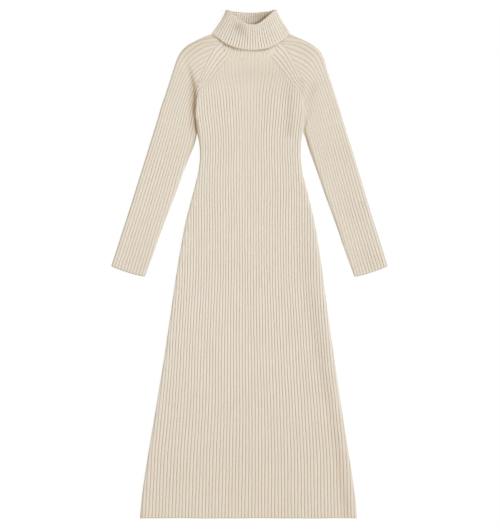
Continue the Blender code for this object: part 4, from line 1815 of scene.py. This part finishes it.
@dataclass
class Collar:
    """The collar: its two halves as one closed tube, with the depth of its ribs and its painted
    shade.

    The fades over lines count them as the sizes do, from the tube's foot inside.
    """

    panel: FrontPanel
    relief: KnitRelief
    sizes: CollarSizes = field(default_factory=CollarSizes)
    # How much painted valley shade the ribs get: less at the rim, on the right and by the roll's
    # edge; on the stand it grows from the body's own towards the roll.
    rim_depth: float = 0.35
    tube_lines: Fade = Fade(5.0, 4.0)
    last_tube_line: int = 13
    roll_lines: Fade = Fade(15.0, 5.0)
    right_depth: float = 0.7
    right_across: Fade = Fade(25.0, 30.0)
    edge_depth: float = 0.6
    edge_lines: tuple = (32, 38)
    # Painted shade inside the opening, darker to the right, fading out over the rim.
    inside_shade: tuple = (0.04, 0.54)
    inside_across: Fade = Fade(-45.0, 105.0)
    inside_lines: Fade = Fade(10.0, -5.0)
    last_roll_line: int = 44
    # Painted shadow under the roll's edge, darkest in the rib valleys and lighter to the right.
    under_shade: float = 1.0
    under_from: float = 1.0
    under_width: float = 2.9
    under_crest: float = 0.5
    under_right: float = 0.5
    under_across: Fade = Fade(20.0, 60.0)
    stand_depth: float = 1.2
    stand_below: Fade = Fade(24.0, -24.0)
    yoke_top: float = 1290.0
    # Strokes of painted shade on the roll, left of its middle, at its left corner and along its
    # right edge.
    shades: tuple = (
        (-40, 1392, -32, 1372, 0, 0.3, 14), (-32, 1372, -14, 1350, 0.3, 0.12, 15),
        (-14, 1350, -6, 1336, 0.1, 0, 14), (-66, 1416, -84, 1366, 0.17, 0.11, 14),
        (-84, 1366, -92, 1352, 0.11, 0, 14), (84, 1404, 101, 1364, 0.12, 0.16, 8),
    )
    course: float = 4.0

    def looks(self, ring: Array, front: CollarFront) -> tuple[Array, Array]:
        """Depth of the ribs' painted valley shade, and the painted shade in the opening, under the
        roll and on it.

        Args:
            ring: the collar's points, with a row for each column and a column for each line.
            front: the front half, whose columns are the ring's first rows.

        Returns:
            Depth and painted shade of each point, from 0 to 1.
        """
        fronts = len(front.numbers)
        across, height = ring[..., 0] - self.sizes.shift, ring[..., 1]
        line = np.broadcast_to(np.arange(ring.shape[1]), across.shape)
        depth = between(self.rim_depth, 1.0, self.roll_lines.at(line))
        tube = between(1.0, self.rim_depth, self.tube_lines.at(line))
        depth = np.where(line > self.last_tube_line, depth, tube)
        depth = depth * between(1.0, self.right_depth, self.right_across.at(across))
        by_edge = (line >= self.edge_lines[0]) & (line <= self.edge_lines[1])
        depth = depth * np.where(by_edge, self.edge_depth, 1.0)
        shade = between(*self.inside_shade, self.inside_across.at(across))
        shade = shade * self.inside_lines.at(line)
        across, height = across[:fronts], height[:fronts]
        on_stand = line[:fronts] > self.last_roll_line
        below = front.edge[:, 1][:, None] - height - self.under_from
        foot = self.panel.depth(across, np.minimum(height, self.yoke_top))
        stand = between(foot, self.stand_depth, self.stand_below.at(below))
        depth[:fronts] = np.where(on_stand, stand, depth[:fronts])
        valley = np.sqrt(1.0 - rib_rise(front.numbers + 0.5))[:, None]
        under = self.under_shade * bump(np.maximum(below, 0.0), self.under_width)
        under = under * between(self.under_crest, 1.0, valley)
        under = under * between(1.0, self.under_right, self.under_across.at(across))
        soft = strokes(ring[:fronts, :, :2], self.shades)
        shade[:fronts] = np.where(on_stand, under, np.maximum(shade[:fronts], soft))
        return depth, shade

    def build(self, material: bpy.types.Material) -> bpy.types.Object:
        """Makes the collar.

        Args:
            material: its finish.

        Returns:
            The closed piece.
        """
        front = CollarFront(self.sizes, self.relief, self.panel)
        back = CollarBack(self.sizes, self.relief)
        upper = front.section()
        ring = np.concatenate([upper, back.section()[-2:0:-1], upper[:1]])
        ring = np.concatenate([ring, ring[:, :1]], axis=1)
        ribs = np.concatenate([front.numbers, back.numbers[-2:0:-1], front.numbers[:1]])
        steps = np.linalg.norm(np.diff(ring, axis=1, prepend=ring[:, :1]), axis=2)
        course = np.cumsum(steps, axis=1) / self.course
        mesh = KnitMesh()
        mesh.grid(ring, stack(ribs[:, None] - PAINTED_SHADE_LEAN, course, *self.looks(ring, front)))
        return mesh.build("collar_knit", material)


def linear_colour(code: str) -> tuple[float, float, float, float]:
    """Turns an sRGB colour linear.

    Args:
        code: its hex code.

    Returns:
        Red, green and blue, with full alpha.
    """
    parts = [int(code[place : place + 2], 16) / 255.0 for place in (1, 3, 5)]
    bent = [part / 12.92 if part <= 0.04045 else ((part + 0.055) / 1.055) ** 2.4 for part in parts]
    return (bent[0], bent[1], bent[2], 1.0)


def add_node(tree: Tree, kind: str, settings: dict) -> bpy.types.Node:
    """Adds a node to a material or a world.

    Args:
        tree: its node tree.
        kind: the node's type.
        settings: output sockets or values by input name or number, and values by property name.

    Returns:
        The node.
    """
    node = tree.nodes.new(kind)
    for name, value in settings.items():
        if isinstance(value, Socket):
            tree.links.new(value, node.inputs[name])
        elif isinstance(name, int) or name in node.inputs:
            node.inputs[name].default_value = value
        else:
            setattr(node, name, value)
    return node


def maths(tree: Tree, operation: str, *terms: float | Socket, clamp: bool = False) -> Socket:
    """The result of one operation on numbers.

    Args:
        tree: the node tree.
        operation: its name.
        terms: numbers or output sockets, in the operation's own order.
        clamp: True to keep the result from 0 to 1.

    Returns:
        The result's socket.
    """
    settings = {"operation": operation, "use_clamp": clamp, **dict(enumerate(terms))}
    return add_node(tree, "ShaderNodeMath", settings).outputs[0]


def mixed(tree: Tree, share: float | Socket, tones: tuple, blend: str = "MIX") -> Socket:
    """Two colours mixed.

    Args:
        tree: the node tree.
        share: how much of the second colour to take.
        tones: the two colours, each as a hex code or an output socket.
        blend: how the second is laid over the first.

    Returns:
        The mixed colour's socket.
    """
    first, second = (linear_colour(tone) if isinstance(tone, str) else tone for tone in tones)
    settings = {"data_type": "RGBA", "blend_type": blend, 0: share, 6: first, 7: second}
    return add_node(tree, "ShaderNodeMix", settings).outputs[2]


def noise(tree: Tree, place: Socket, size: float, detail: float) -> Socket:
    """Noise of a size in millimetres."""
    settings = {"Vector": place, "Scale": 1.0 / (size * MM), "Detail": detail, "Roughness": 0.6}
    return add_node(tree, "ShaderNodeTexNoise", settings).outputs[0]


@dataclass(frozen=True)
class WoolRibKnit:
    """Soft undyed wool-blend yarn, knitted in a one-by-one rib on a flat-bed machine.

    To the eye it is matt and a little furry. Each rib is a column of V-shaped stitches. Its colour
    is light on the crest, and painted shade makes the valley between two ribs darker and warmer.
    In a fold, painted shade turns golden before it dims, as light that bounces between cream yarns
    would.
    """

    name: str = "wool_blend_rib_knit"
    # The yarn's own colour is the crest's, with slow patches of the warm one; the valley colour is
    # painted shade in the rib valleys.
    crest: str = "#EBE9E0"
    valley: str = "#D8C9B0"
    warm: str = "#EAE6DA"
    # Painted shade in folds: a golden bounce tint that comes in first, then the shadow colour, and
    # how fast each comes in.
    painted_bounce: str = "#F7EEE3"
    shadow: str = "#A29585"
    bounce_gain: float = 3.0
    bounce_from: float = 0.1
    shadow_power: float = 1.2
    # Where across a rib the painted valley shade starts and is full, and how much of it flat ribs
    # get.
    valley_from: float = 0.2
    valley_to: float = 0.49
    flat_tint: float = 0.45
    roughness: float = 0.92
    sheen: float = 0.12
    sheen_roughness: float = 0.6
    specular: float = 0.2
    stitch_depth: float = 0.0005
    stitch_strength: float = 0.75
    stitch_slant: float = 1.5
    stitch_gap: float = 12.0
    # Painted shade on the stitches: lighter on their legs, darker in the gaps between them.
    stitch_tone: float = 0.04
    fuzz_depth: float = 0.00025
    fuzz_strength: float = 0.5
    fibre_size: float = 0.9
    fibre_tone: float = 0.10
    speck_size: float = 5.0
    speck_tone: float = 0.10
    base_tone: float = 0.90
    mean_tone: float = 0.05
    patch_size: float = 90.0

    def build(self) -> bpy.types.Material:
        """The material, patterned along the piece's own knit map, with painted shade from its fold
        map.

        Returns:
            The material.
        """
        material = bpy.data.materials.new(self.name)
        material.use_nodes = True
        tree = material.node_tree
        shader = tree.nodes["Principled BSDF"]
        shader.inputs["Roughness"].default_value = self.roughness
        shader.inputs["Sheen Weight"].default_value = self.sheen
        shader.inputs["Sheen Roughness"].default_value = self.sheen_roughness
        shader.inputs["Specular IOR Level"].default_value = self.specular
        shader.inputs["Metallic"].default_value = 0.0
        place = add_node(tree, "ShaderNodeTexCoord", {}).outputs["Object"]
        ribs, courses = self.map_values(tree, "knit")
        off_crest = self.off_crest(tree, ribs)
        stitch = self.stitch(tree, off_crest, courses)
        depth, fold = self.map_values(tree, "fold")
        colour = self.colour(tree, place, off_crest, stitch, depth)
        # Painted shade from the fold map: a golden bounce tint comes in first, then the shadow
        # colour.
        glow_from = -self.bounce_gain * self.bounce_from
        glow = maths(tree, "MULTIPLY_ADD", fold, self.bounce_gain, glow_from, clamp=True)
        painted_shadow_share = maths(tree, "POWER", fold, self.shadow_power)
        for tone, share in ((self.painted_bounce, glow), (self.shadow, painted_shadow_share)):
            colour = mixed(tree, share, (colour, tone), "MULTIPLY")
        tree.links.new(colour, shader.inputs["Base Color"])
        fibre = noise(tree, place, self.fibre_size, 3.0)
        relief = {"Strength": self.stitch_strength, "Distance": self.stitch_depth}
        relief["Height"] = stitch
        stitches = add_node(tree, "ShaderNodeBump", relief).outputs["Normal"]
        relief = {"Strength": self.fuzz_strength, "Distance": self.fuzz_depth}
        relief.update({"Height": fibre, "Normal": stitches})
        fuzz = add_node(tree, "ShaderNodeBump", relief).outputs["Normal"]
        tree.links.new(fuzz, shader.inputs["Normal"])
        return material

    def map_values(self, tree: Tree, name: str) -> tuple[Socket, Socket]:
        """Reads one of the piece's maps.

        Args:
            tree: the material's node tree.
            name: the map's name.

        Returns:
            The sockets of its two values.
        """
        place = add_node(tree, "ShaderNodeUVMap", {"uv_map": name}).outputs["UV"]
        split = add_node(tree, "ShaderNodeSeparateXYZ", {"Vector": place})
        return split.outputs["X"], split.outputs["Y"]

    def off_crest(self, tree: Tree, ribs: Socket) -> Socket:
        """How far a point is from its rib's crest, from 0 to 0.5 in the valley."""
        part = maths(tree, "SUBTRACT", maths(tree, "FRACT", ribs), 0.5)
        return maths(tree, "ABSOLUTE", part)

    def stitch(self, tree: Tree, off_crest: Socket, courses: Socket) -> Socket:
        """The V-shaped stitches, whose two legs slant away from the crest's middle.

        Args:
            tree: the material's node tree.
            off_crest: how far a point is from its rib's crest.
            courses: its course, counted along the rib.

        Returns:
            Their height, from 0 between two stitches to 1.
        """
        slant = maths(tree, "MULTIPLY_ADD", off_crest, self.stitch_slant, courses)
        part = maths(tree, "SUBTRACT", maths(tree, "FRACT", slant), 0.5)
        part = maths(tree, "MULTIPLY", part, part)
        leg = maths(tree, "MULTIPLY_ADD", part, -4.0, 1.0)
        split = maths(tree, "MULTIPLY", off_crest, self.stitch_gap, clamp=True)
        return maths(tree, "MULTIPLY", leg, split)

    def colour(
        self, tree: Tree, place: Socket, off_crest: Socket, stitch: Socket, depth: Socket
    ) -> Socket:
        """The yarn's colour with painted shade: light crests, warm painted valley shade, painted
        shade on the stitches, faint specks and slow patches.

        Args:
            tree: the material's node tree.
            place: a point's place on the piece.
            off_crest: how far it is from its rib's crest.
            stitch: the stitches' height there.
            depth: the ribs' depth there; flat ribs get paler painted valley shade.

        Returns:
            The colour's socket.
        """
        # Painted valley shade: how far into the valley between two ribs a point lies.
        deep = {"interpolation_type": "SMOOTHSTEP", "Value": off_crest}
        deep |= {"From Min": self.valley_from, "From Max": self.valley_to}
        deep |= {"To Min": 0.0, "To Max": 1.0}
        share = add_node(tree, "ShaderNodeMapRange", deep).outputs[0]
        flat = {"data_type": "FLOAT", 0: depth, 2: self.flat_tint, 3: share}
        share = add_node(tree, "ShaderNodeMix", flat).outputs[0]
        patch = noise(tree, place, self.patch_size, 2.0)
        crest = mixed(tree, patch, (self.crest, self.warm))
        ribbed = mixed(tree, share, (crest, self.valley))
        speck = noise(tree, place, self.speck_size, 4.0)
        fibre = noise(tree, place, self.fibre_size, 3.0)
        value = maths(tree, "MULTIPLY_ADD", speck, self.speck_tone, self.base_tone)
        value = maths(tree, "MULTIPLY_ADD", fibre, self.fibre_tone, value)
        # Painted shade on the stitches.
        value = maths(tree, "MULTIPLY_ADD", stitch, self.stitch_tone, value)
        value = maths(tree, "SUBTRACT", value, self.mean_tone)
        grey = add_node(tree, "ShaderNodeCombineXYZ", {0: value, 1: value, 2: value}).outputs[0]
        return mixed(tree, 1.0, (ribbed, grey), "MULTIPLY")


@dataclass(frozen=True)
class StudioPaper:
    """Background paper lit from behind: its glow keeps it plain white, with hardly a shadow."""

    name: str = "white_background_paper"
    colour: str = "#5C5C5C"
    glow_colour: str = "#FFFFFF"
    glow: float = 0.9

    def build(self) -> bpy.types.Material:
        """The material, quite matt.

        Returns:
            The material.
        """
        material = bpy.data.materials.new(self.name)
        material.use_nodes = True
        shader = material.node_tree.nodes["Principled BSDF"]
        shader.inputs["Base Color"].default_value = linear_colour(self.colour)
        shader.inputs["Roughness"].default_value = 1.0
        shader.inputs["Specular IOR Level"].default_value = 0.0
        shader.inputs["Emission Color"].default_value = linear_colour(self.glow_colour)
        shader.inputs["Emission Strength"].default_value = self.glow
        return material


@dataclass
class Studio:
    """The floor, the light and the camera straight above the dress."""

    floor_size: float = 40000.0
    floor_level: float = -0.2
    sun_strength: float = 1.575
    sun_softness: float = 28.0
    sun_from: tuple = (0.70, -0.09, 0.78)
    sun_colour: str = "#F8F9FF"
    sky_strength: float = 0.704
    ground_strength: float = 0.295
    horizon: float = 0.2
    sky_colour: str = "#FFF8F1"
    camera_across: float = 0.0
    camera_height: float = 705.6
    camera_level: float = 6211.0
    camera_range: float = 60000.0
    lens: float = 150.0
    sensor: float = 36.0

    def build(self) -> None:
        """Sets up the studio."""
        scene = bpy.context.scene
        scene.view_settings.view_transform = "Standard"
        scene.view_settings.look = "None"
        self.add_sky(scene)
        self.add_sun(scene)
        self.add_camera(scene)
        self.add_floor(scene)

    def add_floor(self, scene: bpy.types.Scene) -> None:
        """Lays the floor just under the dress.

        Args:
            scene: the scene to add it to.
        """
        half, level = self.floor_size * MM / 2.0, self.floor_level * MM
        corners = [(-half, -half, level), (half, -half, level), (half, half, level)]
        corners.append((-half, half, level))
        mesh = bpy.data.meshes.new("floor")
        mesh.from_pydata(corners, [], [(0, 1, 2, 3)])
        mesh.materials.append(StudioPaper().build())
        floor = bpy.data.objects.new("floor", mesh)
        scene.collection.objects.link(floor)
        floor.visible_diffuse = False

    def add_sky(self, scene: bpy.types.Scene) -> None:
        """Fills the room with soft light, stronger from above the horizon than from below.

        Args:
            scene: the scene to add it to.
        """
        world = bpy.data.worlds.new("studio")
        world.use_nodes = True
        tree = world.node_tree
        back = tree.nodes["Background"]
        back.inputs["Color"].default_value = linear_colour(self.sky_colour)
        ray = add_node(tree, "ShaderNodeTexCoord", {}).outputs["Generated"]
        split = add_node(tree, "ShaderNodeSeparateXYZ", {"Vector": ray})
        spread = {"Value": split.outputs["Z"], "From Min": -self.horizon, "From Max": self.horizon}
        spread |= {"To Min": self.ground_strength, "To Max": self.sky_strength}
        strength = add_node(tree, "ShaderNodeMapRange", spread).outputs[0]
        tree.links.new(strength, back.inputs["Strength"])
        scene.world = world

    def add_sun(self, scene: bpy.types.Scene) -> None:
        """Adds the soft main light, which comes from above the dress's right side.

        Args:
            scene: the scene to add it to.
        """
        light = bpy.data.lights.new("key", "SUN")
        light.energy = self.sun_strength
        light.color = linear_colour(self.sun_colour)[:3]
        light.angle = math.radians(self.sun_softness)
        key = bpy.data.objects.new("key", light)
        across, along, up = self.sun_from
        tilt = math.atan2(math.hypot(across, along), up)
        key.rotation_euler = (tilt, 0.0, math.atan2(across, -along))
        scene.collection.objects.link(key)

    def add_camera(self, scene: bpy.types.Scene) -> None:
        """Hangs the camera straight above, looking down with the collar at the top.

        Args:
            scene: the scene to add it to.
        """
        lens = bpy.data.cameras.new("camera")
        lens.lens = self.lens
        lens.sensor_width = self.sensor
        lens.sensor_fit = "AUTO"
        lens.clip_end = self.camera_range * MM
        camera = bpy.data.objects.new("camera", lens)
        height = (self.camera_height - MIDDLE) * MM
        camera.location = (self.camera_across * MM, height, self.camera_level * MM)
        scene.collection.objects.link(camera)
        scene.camera = camera


@dataclass
class SweaterDress:
    """The whole dress: each piece of knit, what it stands for and the cloth it was cut from."""

    material: bpy.types.Material
    plan: BodyPlan = field(default_factory=BodyPlan)
    relief: KnitRelief = field(default_factory=KnitRelief)

    def build(self) -> None:
        front_panel = FrontPanel(self.plan, self.relief)
        back = BackPanel(self.plan, self.relief).build(self.material)
        front = front_panel.build(self.material)
        sleeve_plan = SleevePlan(self.plan)
        left = Sleeve(sleeve_plan, self.relief, Side.LEFT, LEFT_LAY)
        left = left.build("sleeve_left_knit", self.material)
        right = Sleeve(sleeve_plan, self.relief, Side.RIGHT, RIGHT_LAY)
        right = right.build("sleeve_right_knit", self.material)
        collar = Collar(front_panel, self.relief).build(self.material)
        self.declare(back, "back_body")
        self.declare(front, "front_body")
        self.declare(left, "sleeve_left")
        self.declare(right, "sleeve_right")
        self.declare(collar, "collar")

    def declare(
        self, piece: bpy.types.Object, node: str
    ) -> None:
        """Ties a piece to the frame and hides the solid that it stands for.

        Args:
            piece: the piece.
            node: the solid that it stands for.
        """
        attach(piece, BODY)
        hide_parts(node)


def main() -> None:
    """Builds the scene round the frame."""
    logging.basicConfig(level=logging.INFO, format="%(message)s")
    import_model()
    for item in bpy.context.selected_objects:
        item.select_set(False)
    SweaterDress(WoolRibKnit().build()).build()
    Studio().build()
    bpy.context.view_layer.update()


if __name__ == "__main__":
    main()
